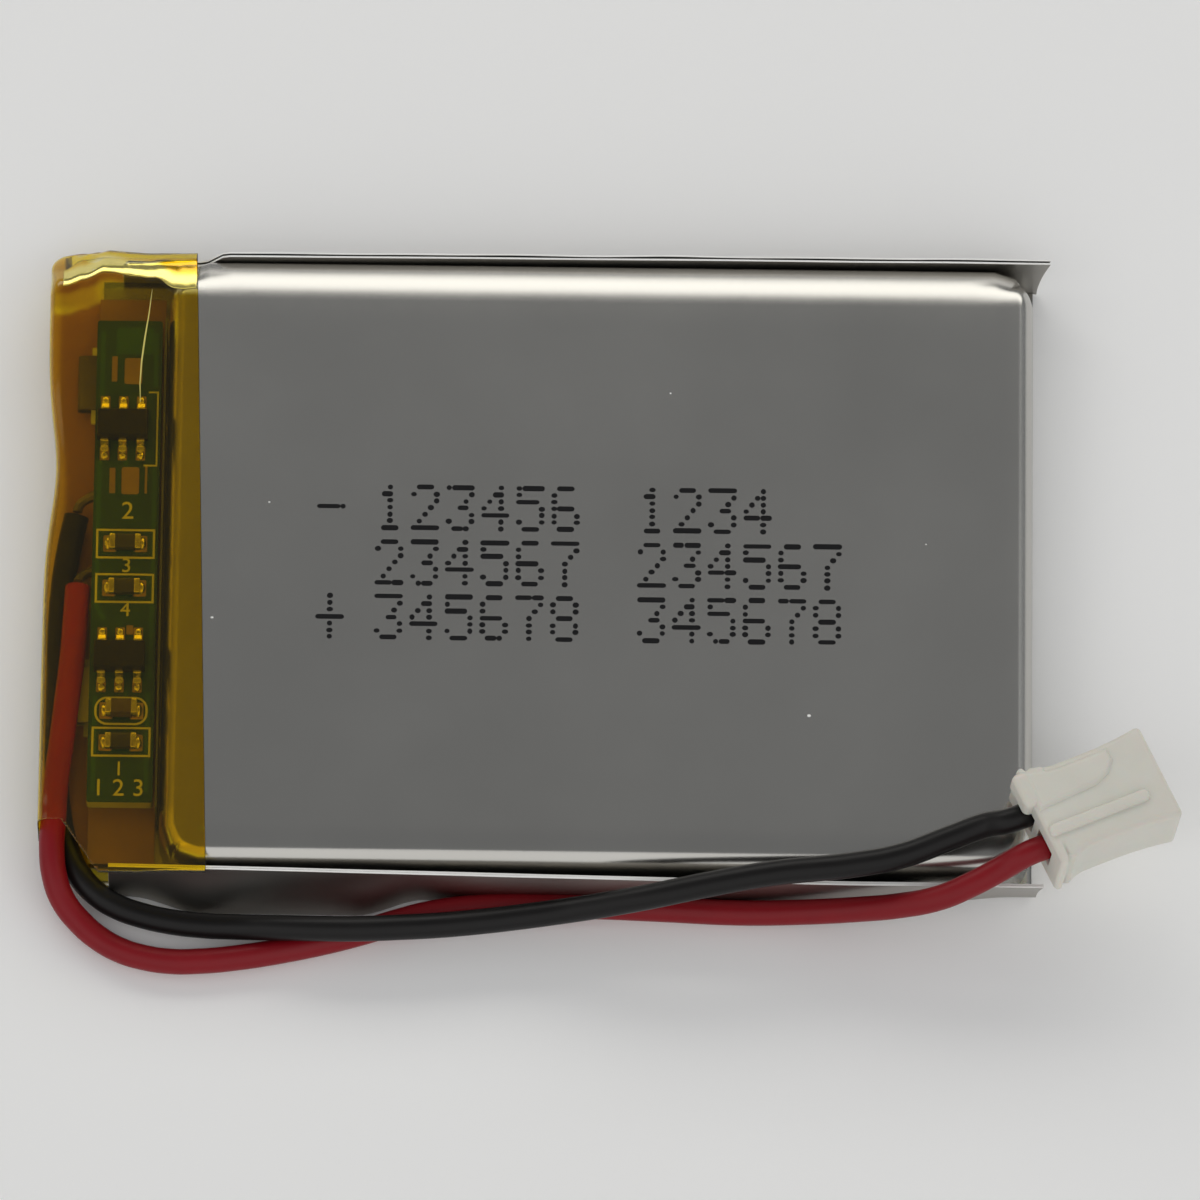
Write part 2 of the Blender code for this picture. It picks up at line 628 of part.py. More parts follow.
def board_assembly(finishes):
    y0 = BOARD_CENTRE_Y - BOARD_LENGTH / 2
    y1 = BOARD_CENTRE_Y + BOARD_LENGTH / 2
    loft("circuit_board", box_rings(board_left, board_right, y0, y1, board_bottom, board_top),
         finishes["board"])
    paper_right = cup_start - FIT_GAP - SKIN_GAP
    paper_left = paper_right - PAPER
    paper = box_rings(paper_left, paper_right, -PAPER_LENGTH / 2, PAPER_LENGTH / 2,
                      return_bottom, return_bottom + PAPER_HEIGHT)
    loft("insulating_paper", paper, finishes["paper"])
    inner_side = cup_side - INSULATION_MARGIN
    inner_tape = box_rings(terrace_end - INSULATION_OUT, paper_left - SKIN_GAP, -inner_side, inner_side,
                           insulation_bottom, insulation_bottom + INSULATION)
    loft("terrace_insulation", inner_tape, finishes["amber"])
    six_lead_ic("protection_ic", board_middle + PROTECTION_IC_SHIFT, PROTECTION_IC_Y, finishes)
    six_lead_ic("switch_ic", board_middle + SWITCH_IC_SHIFT, SWITCH_IC_Y, finishes)
    chip_part("filter_resistor", FILTER_RESISTOR_Y, CHIP, finishes["ceramic"])
    chip_part("sense_resistor", SENSE_RESISTOR_Y, CHIP, finishes["ceramic"])
    chip_part("filter_capacitor", FILTER_CAPACITOR_Y, BIG_CHIP, finishes["capacitor"])
    chip_part("bridge_resistor", BRIDGE_RESISTOR_Y, CHIP, finishes["ceramic"])
    nickel_strip("negative_strip", NEGATIVE_TAB_Y, finishes["nickel"])
    nickel_strip("positive_strip", POSITIVE_TAB_Y, finishes["nickel"])


# ---------------------------------------------------------------- wrap tape

def wrap_tape(material):
    # One strip of tape, folded round the board end from the face to the back.
    top = CELL_THICKNESS
    low_top = top - TAPE_DIP
    corner = TAPE_CORNER

    def section(y):
        hollow = exp(-((y - TAPE_PINCH_Y) / TAPE_PINCH_SPREAD) ** 2)
        left = tape_left + TAPE_PINCH * hollow
        edge = cup_start + TAPE_LAP - TAPE_SKEW * y / tape_side
        path = [(edge, top), (cup_start + TAPE_STEP_TOP, top),
                (cup_start - TAPE_STEP_FOOT, top - TAPE_DIP * TAPE_STEP_SHARE),
                (left + corner + TAPE_LEVEL, low_top)]
        path += arc(left + corner, low_top - corner, corner, 90, 180, 3)
        path += arc(left + corner, corner, corner, 180, 270, 3)
        path.append((edge, 0.0))
        return [(x, y, z) for x, z in thickened(path, TAPE)]

    stations = 16
    rings = [section(-tape_side + 2 * tape_side * k / stations) for k in range(stations + 1)]
    tape = loft("outer_tape", rings, material, smooth_angle=40)
    far = HEAD_LENGTH * 2
    mouth_y = -tape_side + TAPE_MOUTH
    mouth_x = terrace_end + SEAL_START / 2
    plan = [(tape_left - far, mouth_y), (tape_left - far, -tape_side - far),
            (mouth_x + far * TAPE_MOUTH_SLOPE, -tape_side - far), (mouth_x, -tape_side - FIT_GAP),
            (tape_left + TAPE_MOUTH_LIP, mouth_y)]
    rings = [[(x, y, z) for x, y in plan] for z in (-far, CELL_THICKNESS + far)]
    mouth = as_cutter(loft("lead_mouth", rings, material))
    cut = tape.modifiers.new("lead_mouth", 'BOOLEAN')
    cut.object = mouth
    cut.operation = 'DIFFERENCE'
    return tape


# ---------------------------------------------------------------- plug

def plug_parts(finishes):
    # Modelled along +X from its wire end, then turned with its parent.
    frame = bpy.data.objects.new("plug_frame", None)
    bpy.context.collection.objects.link(frame)
    frame.location = Vector(plug_rear) * MM
    frame.rotation_euler = (0.0, radians(PLUG_DIP), radians(PLUG_YAW))

    def ring(x, half_width):
        half = PLUG_THICKNESS / 2
        chamfer = PLUG_CHAMFER
        rib_width, rib_height = PLUG_RIB
        rib_near = -PLUG_PITCH / 2 - rib_width / 2
        rib_far = rib_near + rib_width
        section = [(-half_width + chamfer, -half), (half_width - chamfer, -half),
                   (half_width, -half + chamfer), (half_width, half - chamfer),
                   (half_width - chamfer, half), (rib_far, half), (rib_far, half + rib_height),
                   (rib_near, half + rib_height), (rib_near, half),
                   (-half_width + chamfer, half), (-half_width, half - chamfer),
                   (-half_width, -half + chamfer)]
        return [(x, y, z) for y, z in section]

    half = PLUG_WIDTH / 2
    rings = [ring(0.0, half + PLUG_WING), ring(PLUG_WING_LENGTH * PLUG_WING_SOLID, half + PLUG_WING),
             ring(PLUG_WING_LENGTH * PLUG_WING_END, half), ring(PLUG_LENGTH * PLUG_FLARE_START, half),
             ring(PLUG_LENGTH, half + PLUG_FLARE)]
    housing = loft("plug_housing", rings, finishes["nylon"])
    housing.parent = frame
    for label, y in (("negative", PLUG_PITCH / 2), ("positive", -PLUG_PITCH / 2)):
        hollow = PLUG_CAVITY / 2
        rings = box_rings(-CUT_THROUGH, PLUG_LENGTH + CUT_THROUGH, y - hollow, y + hollow,
                          -hollow, hollow)
        cavity = as_cutter(loft("cavity_" + label, rings, finishes["nylon"]))
        cavity.parent = frame
        cut = housing.modifiers.new("cavity_" + label, 'BOOLEAN')
        cut.object = cavity
        cut.operation = 'DIFFERENCE'
        terminal = contact("contact_" + label, y, finishes["tin"])
        terminal.parent = frame


def contact(name, y, material):
    # A crimped socket: a barrel on the lead's side and a square bore on the pin's side.
    def ring(x, size):
        half = size / 2
        return [(x, y - half, -half), (x, y + half, -half), (x, y + half, half), (x, y - half, half)]

    start = LEAD_IN_PLUG + FIT_GAP
    barrel = CONTACT * CONTACT_BARREL_SHARE
    barrel_end = start + CONTACT_BARREL_LENGTH
    front = barrel_end + CONTACT_LENGTH
    rings = [ring(front - CONTACT_BORE_DEPTH, CONTACT_BORE), ring(front, CONTACT_BORE),
             ring(front, CONTACT), ring(barrel_end, CONTACT), ring(barrel_end, barrel),
             ring(start, barrel)]
    return loft(name, rings, material)


def plug_point(along, across):
    yaw = radians(PLUG_YAW)
    dip = radians(PLUG_DIP)
    x, y, z = plug_rear
    return (x + along * cos(dip) * cos(yaw) - across * sin(yaw),
            y + along * cos(dip) * sin(yaw) + across * cos(yaw),
            z - along * sin(dip))


def leads(finishes):
    for colour, route, across in (("black", BLACK_ROUTE, PLUG_PITCH / 2),
                                  ("red", RED_ROUTE, -PLUG_PITCH / 2)):
        stops = (-LEAD_BEHIND_PLUG, LEAD_AT_REAR, LEAD_IN_PLUG)
        points = route + [plug_point(along, across) for along in stops]
        line = smooth_route(points, LEAD_SPACING)
        tube(colour + "_lead", line, LEAD, finishes[colour])
        direction = (line[1] - line[0]).normalized()
        solder_joint("solder_" + colour, route[0], direction, finishes["tin"])


def build():
    clear_scene()
    finishes = {
        "film": finish("satin_film", (0.14, 0.14, 0.14), 0.38, 0.85),
        "anode": finish("graphite_on_copper", (0.03, 0.03, 0.035), 0.8, 0.0),
        "cathode": finish("oxide_on_aluminium", (0.05, 0.05, 0.05), 0.7, 0.0),
        "separator": finish("separator_film", (0.8, 0.8, 0.78), 0.5, 0.0),
        "amber": finish("amber_film", (0.42, 0.17, 0.01), 0.25, 0.0),
        "wrap": finish("wrap_tape", (0.42, 0.27, 0.01), 0.15, 0.0),
        "nickel": finish("nickel", (0.55, 0.53, 0.48), 0.35, 1.0),
        "aluminium": finish("aluminium", (0.75, 0.75, 0.76), 0.35, 1.0),
        "resin": finish("sealant_resin", (0.75, 0.75, 0.72), 0.4, 0.0),
        "board": finish("green_mask", (0.015, 0.045, 0.012), 0.35, 0.0),
        "paper": finish("insulating_paper", (0.55, 0.5, 0.4), 0.8, 0.0),
        "mould": finish("black_mould", (0.012, 0.01, 0.01), 0.5, 0.0),
        "ceramic": finish("chip_black", (0.02, 0.02, 0.02), 0.4, 0.0),
        "capacitor": finish("chip_tan", (0.25, 0.17, 0.1), 0.5, 0.0),
        "tin": finish("solder_tin", (0.7, 0.68, 0.62), 0.25, 1.0),
        "black": finish("black_insulation", (0.01, 0.009, 0.009), 0.4, 0.0),
        "red": finish("red_insulation", (0.3, 0.01, 0.015), 0.4, 0.0),
        "nylon": finish("white_nylon", (0.72, 0.71, 0.65), 0.45, 0.0),
    }
    cup_shell(finishes["film"])
    back_sheet(finishes["film"])
    terrace_sheet(finishes["film"])
    side_seal("rear_side_seal", 1, EAR_REACH, finishes["film"])
    side_seal("front_side_seal", -1, EAR_REACH * FRONT_EAR_SHARE, finishes["film"])
    winding(finishes)
    tab("negative_tab", NEGATIVE_TAB_Y, NEGATIVE_TAB_BEND, finishes["nickel"])
    tab("positive_tab", POSITIVE_TAB_Y, POSITIVE_TAB_BEND, finishes["aluminium"])
    tab_sealant("negative_tab_sealant", NEGATIVE_TAB_Y, finishes["resin"])
    tab_sealant("positive_tab_sealant", POSITIVE_TAB_Y, finishes["resin"])
    board_assembly(finishes)
    wrap_tape(finishes["wrap"])
    plug_parts(finishes)
    leads(finishes)


build()
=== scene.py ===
import random
from math import cos, exp, pi, radians, sin, sqrt, tan

import bmesh
import bpy
from mathutils import Matrix, Vector, noise


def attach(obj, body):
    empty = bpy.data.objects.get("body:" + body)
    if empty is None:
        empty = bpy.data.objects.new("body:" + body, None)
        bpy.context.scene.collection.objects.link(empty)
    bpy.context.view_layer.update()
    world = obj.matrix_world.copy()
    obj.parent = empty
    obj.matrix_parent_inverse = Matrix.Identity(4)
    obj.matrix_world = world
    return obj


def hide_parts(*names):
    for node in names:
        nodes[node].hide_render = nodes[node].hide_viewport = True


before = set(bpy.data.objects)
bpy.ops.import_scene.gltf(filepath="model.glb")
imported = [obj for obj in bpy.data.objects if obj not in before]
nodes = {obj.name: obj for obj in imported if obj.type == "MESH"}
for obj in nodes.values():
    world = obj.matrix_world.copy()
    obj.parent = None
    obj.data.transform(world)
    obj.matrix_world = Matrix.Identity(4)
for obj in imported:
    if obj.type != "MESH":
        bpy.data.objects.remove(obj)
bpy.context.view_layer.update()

mm = 0.001


# small helpers

def addObject(name, data):
    thing = bpy.data.objects.new(name, data)
    bpy.context.scene.collection.objects.link(thing)
    return thing


def toMesh(name, bm, material, smoothAngle=None, body="root"):
    mesh = bpy.data.meshes.new(name)
    bm.to_mesh(mesh)
    bm.free()
    piece = addObject(name, mesh)
    mesh.materials.append(material)
    if smoothAngle is not None:
        mesh.shade_smooth()
        mesh.set_sharp_from_angle(angle=radians(smoothAngle))
    if body:
        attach(piece, body)
    return piece


def flatPath(bm, points, z=0.0):
    verts = [bm.verts.new((x * mm, y * mm, z * mm)) for x, y in points]
    return bm.faces.new(verts)


def roundedPoints(x0, x1, y0, y1, radius, steps=5):
    points = []
    for cx, cy, start in ((x1 - radius, y1 - radius, 0), (x0 + radius, y1 - radius, 90),
                          (x0 + radius, y0 + radius, 180), (x1 - radius, y0 + radius, 270)):
        for k in range(steps + 1):
            a = radians(start + 90 * k / steps)
            points.append((cx + radius * cos(a), cy + radius * sin(a)))
    return points


def unitGrid(bm, across, along):  # a flat grid from -0.5 to 0.5, to be shaped point by point
    return bmesh.ops.create_grid(bm, x_segments=across, y_segments=along, size=0.5)["verts"]


def joinRings(bm, one, two):  # the faces between two rings of four points
    for k in range(4):
        bm.faces.new((one[k], one[(k + 1) % 4], two[(k + 1) % 4], two[k]))


def bevelEdges(bm, edges, width, segments):
    bmesh.ops.bevel(bm, geom=edges, offset=width * mm, affect="EDGES", segments=segments, profile=0.5,
                    material=-1)


def raiseFaces(bm, faces, height):  # turns flat faces into a plate of that height
    grown = bmesh.ops.extrude_face_region(bm, geom=faces)
    verts = topVerts(grown)
    bmesh.ops.translate(bm, verts=verts, vec=(0, 0, height * mm))
    bmesh.ops.recalc_face_normals(bm, faces=bm.faces)
    return verts


def addBox(bm, low, high, bevel=0.0, segments=2):
    made = bmesh.ops.create_cube(bm, size=1.0)
    size = [h - l for l, h in zip(low, high)]
    middle = [(h + l) / 2 for l, h in zip(low, high)]
    bmesh.ops.scale(bm, vec=[s * mm for s in size], verts=made["verts"])
    bmesh.ops.translate(bm, vec=[m * mm for m in middle], verts=made["verts"])
    if bevel:
        edges = list({e for v in made["verts"] for e in v.link_edges})
        bevelEdges(bm, edges, bevel, segments)
    return made["verts"]


def everythingIn(bm):
    return bm.verts[:] + bm.edges[:] + bm.faces[:]


def topVerts(made):  # the new points that an extrusion gives
    return [thing for thing in made["geom"] if isinstance(thing, bmesh.types.BMVert)]


def finalMesh(thing):  # the mesh with the modifiers carried out
    return bpy.data.meshes.new_from_object(thing.evaluated_get(bpy.context.evaluated_depsgraph_get()))


def thicken(piece, thickness, offset=-1):
    wall = piece.modifiers.new("film", "SOLIDIFY")
    wall.thickness = thickness * mm
    wall.offset = offset
    return wall


def clamp(value):
    return min(max(value, 0), 1)


def ripple(x, y, scale, seed):  # smooth noise from -1 to 1, over places in mm
    return noise.noise(Vector((x / scale, y / scale, seed)))


# shader helpers

def newMaterial(name):
    material = bpy.data.materials.new(name)
    material.use_nodes = True
    tree = material.node_tree
    return material, tree, tree.nodes["Principled BSDF"]


def link(tree, source, target):
    tree.links.new(source, target)


def objectCoords(tree):
    return tree.nodes.new("ShaderNodeTexCoord").outputs["Object"]


def setPlain(shader, **values):  # values that are the same all over the surface
    for name, value in values.items():
        shader.inputs[name.replace("_", " ")].default_value = value


def addNode(tree, kind, **values):
    node = tree.nodes.new("ShaderNode" + kind)
    setPlain(node, **values)
    return node


def addMath(tree, operation, first, second):
    node = addNode(tree, "Math")
    node.operation = operation
    link(tree, first, node.inputs[0])
    link(tree, second, node.inputs[1])
    return node.outputs[0]


def mixColours(tree, share, first, second):  # the second is a colour or another node's output
    node = addNode(tree, "Mix")
    node.data_type = "RGBA"
    link(tree, share, node.inputs["Factor"])
    link(tree, first, node.inputs[6])
    if isinstance(second, tuple):
        node.inputs[7].default_value = second
    else:
        link(tree, second, node.inputs[7])
    return node.outputs[2]


print("frame loaded", len(nodes), "nodes")


# camera

camera = dict(target=(2.72, -1.30, 2.0), elevation=67.5, roll=0.7, distance=900.0, viewWidth=61.2,
              sensor=36.0)


def makeCamera():
    elevation = radians(camera["elevation"])
    roll = radians(camera["roll"])
    sideways = Vector((1, 0, 0))
    upwards = Vector((0, sin(elevation), cos(elevation)))
    back = Vector((0, -cos(elevation), sin(elevation)))
    right = sideways * cos(roll) + upwards * sin(roll)
    up = upwards * cos(roll) - sideways * sin(roll)
    data = bpy.data.cameras.new("camera")
    data.sensor_width = camera["sensor"]
    data.lens = camera["sensor"] * camera["distance"] / camera["viewWidth"]
    data.clip_start = 0.05
    data.clip_end = 10
    thing = addObject("camera", data)
    place = Matrix((right, up, back)).transposed().to_4x4()
    place.translation = (Vector(camera["target"]) + back * camera["distance"]) * mm
    thing.matrix_world = place
    bpy.context.scene.camera = thing


makeCamera()
print("camera placed")


# shared node groups

def newGroup(name, sockets):
    group = bpy.data.node_groups.new(name, "ShaderNodeTree")
    for label, way, kind, value in sockets:
        made = group.interface.new_socket(label, in_out=way, socket_type=kind)
        if value is not None:
            made.default_value = value
    return group, group.nodes.new("NodeGroupInput"), group.nodes.new("NodeGroupOutput")


def makeSpeckleGroup():  # small specks of handling
    group, inside, out = newGroup("handlingMarks", [
        ("Vector", "INPUT", "NodeSocketVector", None), ("Scale", "INPUT", "NodeSocketFloat", 900.0),
        ("Amount", "INPUT", "NodeSocketFloat", 0.5), ("Mask", "OUTPUT", "NodeSocketFloat", None)])
    cells = addNode(group, "TexVoronoi")
    link(group, inside.outputs["Vector"], cells.inputs["Vector"])
    link(group, inside.outputs["Scale"], cells.inputs["Scale"])
    near = addNode(group, "MapRange", From_Min=0.02, From_Max=0.09, To_Min=1.0, To_Max=0.0)
    link(group, cells.outputs["Distance"], near.inputs["Value"])
    some = addNode(group, "SeparateColor")
    link(group, cells.outputs["Color"], some.inputs["Color"])
    rare = addMath(group, "LESS_THAN", some.outputs["Red"], inside.outputs["Amount"])
    link(group, addMath(group, "MULTIPLY", near.outputs["Result"], rare), out.inputs["Mask"])
    return group


def makeMottleGroup():  # cloudy variation between two colours, with a matching roughness
    group, inside, out = newGroup("mottle", [
        ("Vector", "INPUT", "NodeSocketVector", None), ("Scale", "INPUT", "NodeSocketFloat", 200.0),
        ("Dark", "INPUT", "NodeSocketColor", (0.4, 0.4, 0.4, 1)),
        ("Light", "INPUT", "NodeSocketColor", (0.6, 0.6, 0.6, 1)),
        ("Smoothest", "INPUT", "NodeSocketFloat", 0.3), ("Roughest", "INPUT", "NodeSocketFloat", 0.5),
        ("Color", "OUTPUT", "NodeSocketColor", None), ("Roughness", "OUTPUT", "NodeSocketFloat", None)])
    cloud = addNode(group, "TexNoise", Detail=5.0, Roughness=0.6)
    link(group, inside.outputs["Vector"], cloud.inputs["Vector"])
    link(group, inside.outputs["Scale"], cloud.inputs["Scale"])
    blend = mixColours(group, cloud.outputs["Fac"], inside.outputs["Dark"], inside.outputs["Light"])
    rough = addNode(group, "MapRange")
    link(group, cloud.outputs["Fac"], rough.inputs["Value"])
    link(group, inside.outputs["Smoothest"], rough.inputs["To Min"])
    link(group, inside.outputs["Roughest"], rough.inputs["To Max"])
    link(group, blend, out.inputs["Color"])
    link(group, rough.outputs["Result"], out.inputs["Roughness"])
    return group


def makeReliefGroup():  # fine and coarse unevenness as one normal
    group, inside, out = newGroup("relief", [
        ("Vector", "INPUT", "NodeSocketVector", None), ("Fine Scale", "INPUT", "NodeSocketFloat", 9000.0),
        ("Coarse Scale", "INPUT", "NodeSocketFloat", 300.0),
        ("Fine Depth", "INPUT", "NodeSocketFloat", 0.000002),
        ("Coarse Depth", "INPUT", "NodeSocketFloat", 0.00001),
        ("Normal", "OUTPUT", "NodeSocketVector", None)])
    depths = []
    for label in ("Fine", "Coarse"):
        waves = addNode(group, "TexNoise", Detail=3.0)
        link(group, inside.outputs["Vector"], waves.inputs["Vector"])
        link(group, inside.outputs[label + " Scale"], waves.inputs["Scale"])
        depths.append(addMath(group, "MULTIPLY", waves.outputs["Fac"], inside.outputs[label + " Depth"]))
    bump = addNode(group, "Bump", Distance=1.0, Strength=1.0)
    link(group, addMath(group, "ADD", *depths), bump.inputs["Height"])
    link(group, bump.outputs["Normal"], out.inputs["Normal"])
    return group


speckleGroup = makeSpeckleGroup()
mottleGroup = makeMottleGroup()
reliefGroup = makeReliefGroup()


def placeGroup(tree, group, **values):
    node = tree.nodes.new("ShaderNodeGroup")
    node.node_tree = group
    link(tree, objectCoords(tree), node.inputs["Vector"])
    for name, value in values.items():
        node.inputs[name.replace("_", " ")].default_value = value
    return node


def mottled(name, dark, light, rough, scale, metallic=0.0, fine=(9000.0, 0.0), coarse=(300.0, 0.0),
            tint=None, **plain):  # cloudy colour and roughness over a fine relief
    material, tree, shader = newMaterial(name)
    clouds = placeGroup(tree, mottleGroup, Scale=scale, Dark=(*dark, 1), Light=(*light, 1),
                        Smoothest=rough[0], Roughest=rough[1])
    colour = clouds.outputs["Color"]
    link(tree, tint(tree, colour) if tint else colour, shader.inputs["Base Color"])
    link(tree, clouds.outputs["Roughness"], shader.inputs["Roughness"])
    if fine[1] or coarse[1]:
        relief = placeGroup(tree, reliefGroup, Fine_Scale=fine[0], Fine_Depth=fine[1] * mm,
                            Coarse_Scale=coarse[0], Coarse_Depth=coarse[1] * mm)
        link(tree, relief.outputs["Normal"], shader.inputs["Normal"])
    setPlain(shader, Metallic=metallic, **plain)
    return material


# materials

def brightSpecks(tree, colour):
    marks = placeGroup(tree, speckleGroup, Scale=500.0, Amount=0.015)
    return mixColours(tree, marks.outputs["Mask"], colour, (0.8, 0.8, 0.78, 1))


def filmLayersAndPaintedGlare(tree, colour):  # deeper where the tape lies double; paler in a band just past the far fold, a painted highlight for the glare there
    # the pale second colour is the painted highlight of the glare band
    for attribute, other in (("layers", (0.66, 0.40, 0.002, 1)), ("paintedGlare", (1.0, 0.93, 0.50, 1))):
        share = addNode(tree, "Attribute")
        share.attribute_name = attribute
        colour = mixColours(tree, share.outputs["Fac"], colour, other)
    return colour


def thinShadow(material):  # the film casts only part of a shadow
    tree = material.node_tree
    rays = addNode(tree, "LightPath")
    letThrough = addNode(tree, "MapRange", To_Min=1.0, To_Max=0.30)
    link(tree, rays.outputs["Is Shadow Ray"], letThrough.inputs["Value"])
    link(tree, letThrough.outputs["Result"], tree.nodes["Principled BSDF"].inputs["Alpha"])


foil = mottled("pouchFoil", (0.515, 0.505, 0.475), (0.585, 0.575, 0.545), (0.23, 0.28), 90.0, 1.0,
               fine=(14000.0, 0.0006), coarse=(180.0, 0.012), tint=brightSpecks)
tapeFilm = mottled("amberWrap", (0.84, 0.61, 0.003), (0.92, 0.69, 0.006), (0.05, 0.10), 260.0,
                   fine=(2500.0, 0.0012), coarse=(330.0, 0.03), tint=filmLayersAndPaintedGlare,
                   Transmission_Weight=1.0, IOR=1.45)
thinShadow(tapeFilm)
# pale white: on the seals' rim a painted highlight along their top edge, on the dust specks their own
# colour
rimHighlightAndDust = mottled("paintedRimHighlightAndDust", (0.86, 0.86, 0.84), (0.94, 0.94, 0.92), (0.40, 0.55), 800.0)
foldFoil = mottled("foldedFoil", (0.80, 0.80, 0.78), (0.90, 0.90, 0.88), (0.10, 0.20), 300.0, 1.0)
# pale opaque yellow for the crease: a painted highlight along it
paintedCreaseHighlight = mottled("paintedCreaseHighlight", (0.78, 0.66, 0.14), (0.90, 0.80, 0.26), (0.25, 0.4), 900.0)
# a darker copy of the pouch foil for the side seals: painted shade on their flanks below the rim
flapFoilPaintedShade = mottled("flapFoilPaintedShade", (0.36, 0.345, 0.32), (0.46, 0.44, 0.41), (0.30, 0.38), 120.0, 1.0,
                   fine=(9000.0, 0.0006), coarse=(260.0, 0.02))
redVinyl = mottled("redVinyl", (0.20, 0.003, 0.008), (0.26, 0.005, 0.011), (0.36, 0.5), 400.0,
                   fine=(5000.0, 0.0015), coarse=(700.0, 0.01), Specular_IOR_Level=0.28)
blackVinyl = mottled("blackVinyl", (0.005, 0.0045, 0.0045), (0.009, 0.008, 0.008), (0.34, 0.46), 400.0,
                     fine=(5000.0, 0.0015), coarse=(700.0, 0.01), Specular_IOR_Level=0.25)
nylon = mottled("whiteNylon", (0.67, 0.655, 0.585), (0.75, 0.735, 0.665), (0.38, 0.5), 500.0,
                fine=(4000.0, 0.002), coarse=(500.0, 0.02), Subsurface_Weight=0.25, Subsurface_Scale=0.0008)
solderMask = mottled("greenMask", (0.006, 0.034, 0.012), (0.014, 0.060, 0.018), (0.25, 0.4), 900.0,
                     fine=(6000.0, 0.001), coarse=(900.0, 0.01))
traceMask = mottled("traceMask", (0.014, 0.070, 0.02), (0.024, 0.095, 0.03), (0.25, 0.4), 900.0)
boardCore = mottled("boardLaminate", (0.30, 0.27, 0.12), (0.42, 0.38, 0.18), (0.6, 0.8), 1500.0)
goldPad = mottled("goldPad", (0.46, 0.31, 0.11), (0.58, 0.41, 0.17), (0.22, 0.4), 1200.0, 1.0)
silkInk = mottled("silkInk", (0.46, 0.44, 0.29), (0.60, 0.58, 0.40), (0.5, 0.7), 3000.0)
solderTin = mottled("solderTin", (0.62, 0.60, 0.55), (0.78, 0.76, 0.72), (0.16, 0.34), 1500.0, 1.0,
                    fine=(4000.0, 0.002), coarse=(1200.0, 0.012))
blackMould = mottled("blackMould", (0.007, 0.007, 0.007), (0.014, 0.013, 0.013), (0.5, 0.65), 2500.0,
                     fine=(9000.0, 0.003), Specular_IOR_Level=0.2)
chipBlack = mottled("chipBlack", (0.014, 0.014, 0.015), (0.03, 0.03, 0.03), (0.3, 0.45), 2500.0)
chipTan = mottled("chipTan", (0.045, 0.03, 0.018), (0.075, 0.052, 0.032), (0.45, 0.6), 2500.0)
nickel = mottled("nickelStrip", (0.50, 0.48, 0.43), (0.62, 0.60, 0.55), (0.28, 0.42), 900.0, 1.0,
                 fine=(6000.0, 0.001))
darkTab = mottled("tarnishedTab", (0.10, 0.085, 0.06), (0.17, 0.15, 0.11), (0.4, 0.55), 900.0, 0.7)
tabMetal = mottled("tabAluminium", (0.66, 0.66, 0.67), (0.8, 0.8, 0.81), (0.28, 0.42), 900.0, 1.0,
                   fine=(6000.0, 0.001))
innerAmber = mottled("innerAmber", (0.24, 0.13, 0.012), (0.34, 0.19, 0.02), (0.18, 0.3), 300.0,
                     coarse=(500.0, 0.02))
sealResin = mottled("sealResin", (0.62, 0.62, 0.58), (0.75, 0.75, 0.70), (0.4, 0.55), 900.0)
paperBoard = mottled("insulatingPaper", (0.05, 0.05, 0.03), (0.08, 0.08, 0.05), (0.8, 0.95), 1800.0,
                     fine=(5000.0, 0.01))
graphite = mottled("graphiteCoating", (0.02, 0.02, 0.022), (0.04, 0.04, 0.042), (0.75, 0.9), 2500.0)
oxide = mottled("oxideCoating", (0.03, 0.03, 0.03), (0.055, 0.055, 0.055), (0.6, 0.8), 2500.0)
separatorFilm = mottled("separatorFilm", (0.72, 0.72, 0.70), (0.82, 0.82, 0.80), (0.4, 0.55), 1200.0)
markInk = mottled("markInk", (0.006, 0.006, 0.007), (0.014, 0.014, 0.015), (0.5, 0.7), 4000.0,
                  Specular_IOR_Level=0.12)
print("materials ready")


# leads

leads = dict(diameter=1.3, plugRear=(24.83, -15.22, 5.85), plugYaw=25.5, plugDip=6.0, pitch=2.0,
             inPlug=(-0.9, 0.3, 1.5))
blackRoute = [
    (-0.02410, 0.00330, 0.00115), (-0.02445, 0.00160, 0.00092), (-0.02472, -0.00030, 0.00078),
    (-0.02488, -0.00240, 0.00074), (-0.02489, -0.00500, 0.00074), (-0.02489, -0.00750, 0.00074),
    (-0.02487, -0.01020, 0.00074), (-0.02466, -0.01270, 0.00076), (-0.02420, -0.01490, 0.00094),
    (-0.02352, -0.01637, 0.00108), (-0.02250, -0.01744, 0.00098), (-0.02144, -0.01802, 0.00080),
    (-0.02040, -0.01836, 0.00072), (-0.01914, -0.01866, 0.00072), (-0.01736, -0.01890, 0.00076),
    (-0.01532, -0.01910, 0.00110), (-0.01330, -0.01934, 0.00168), (-0.01125, -0.01950, 0.00204),
    (-0.00922, -0.01952, 0.00214), (-0.00720, -0.01942, 0.00215), (-0.00518, -0.01928, 0.00215),
    (-0.00316, -0.01906, 0.00215), (-0.00113, -0.01880, 0.00220), (0.00089, -0.01858, 0.00245),
    (0.00291, -0.01852, 0.00320), (0.00543, -0.01840, 0.00422), (0.00795, -0.01800, 0.00472),
    (0.01173, -0.01724, 0.00474), (0.01552, -0.01676, 0.00472), (0.01804, -0.01625, 0.00475),
    (0.02056, -0.01531, 0.00495), (0.02240, -0.01472, 0.00535),
]
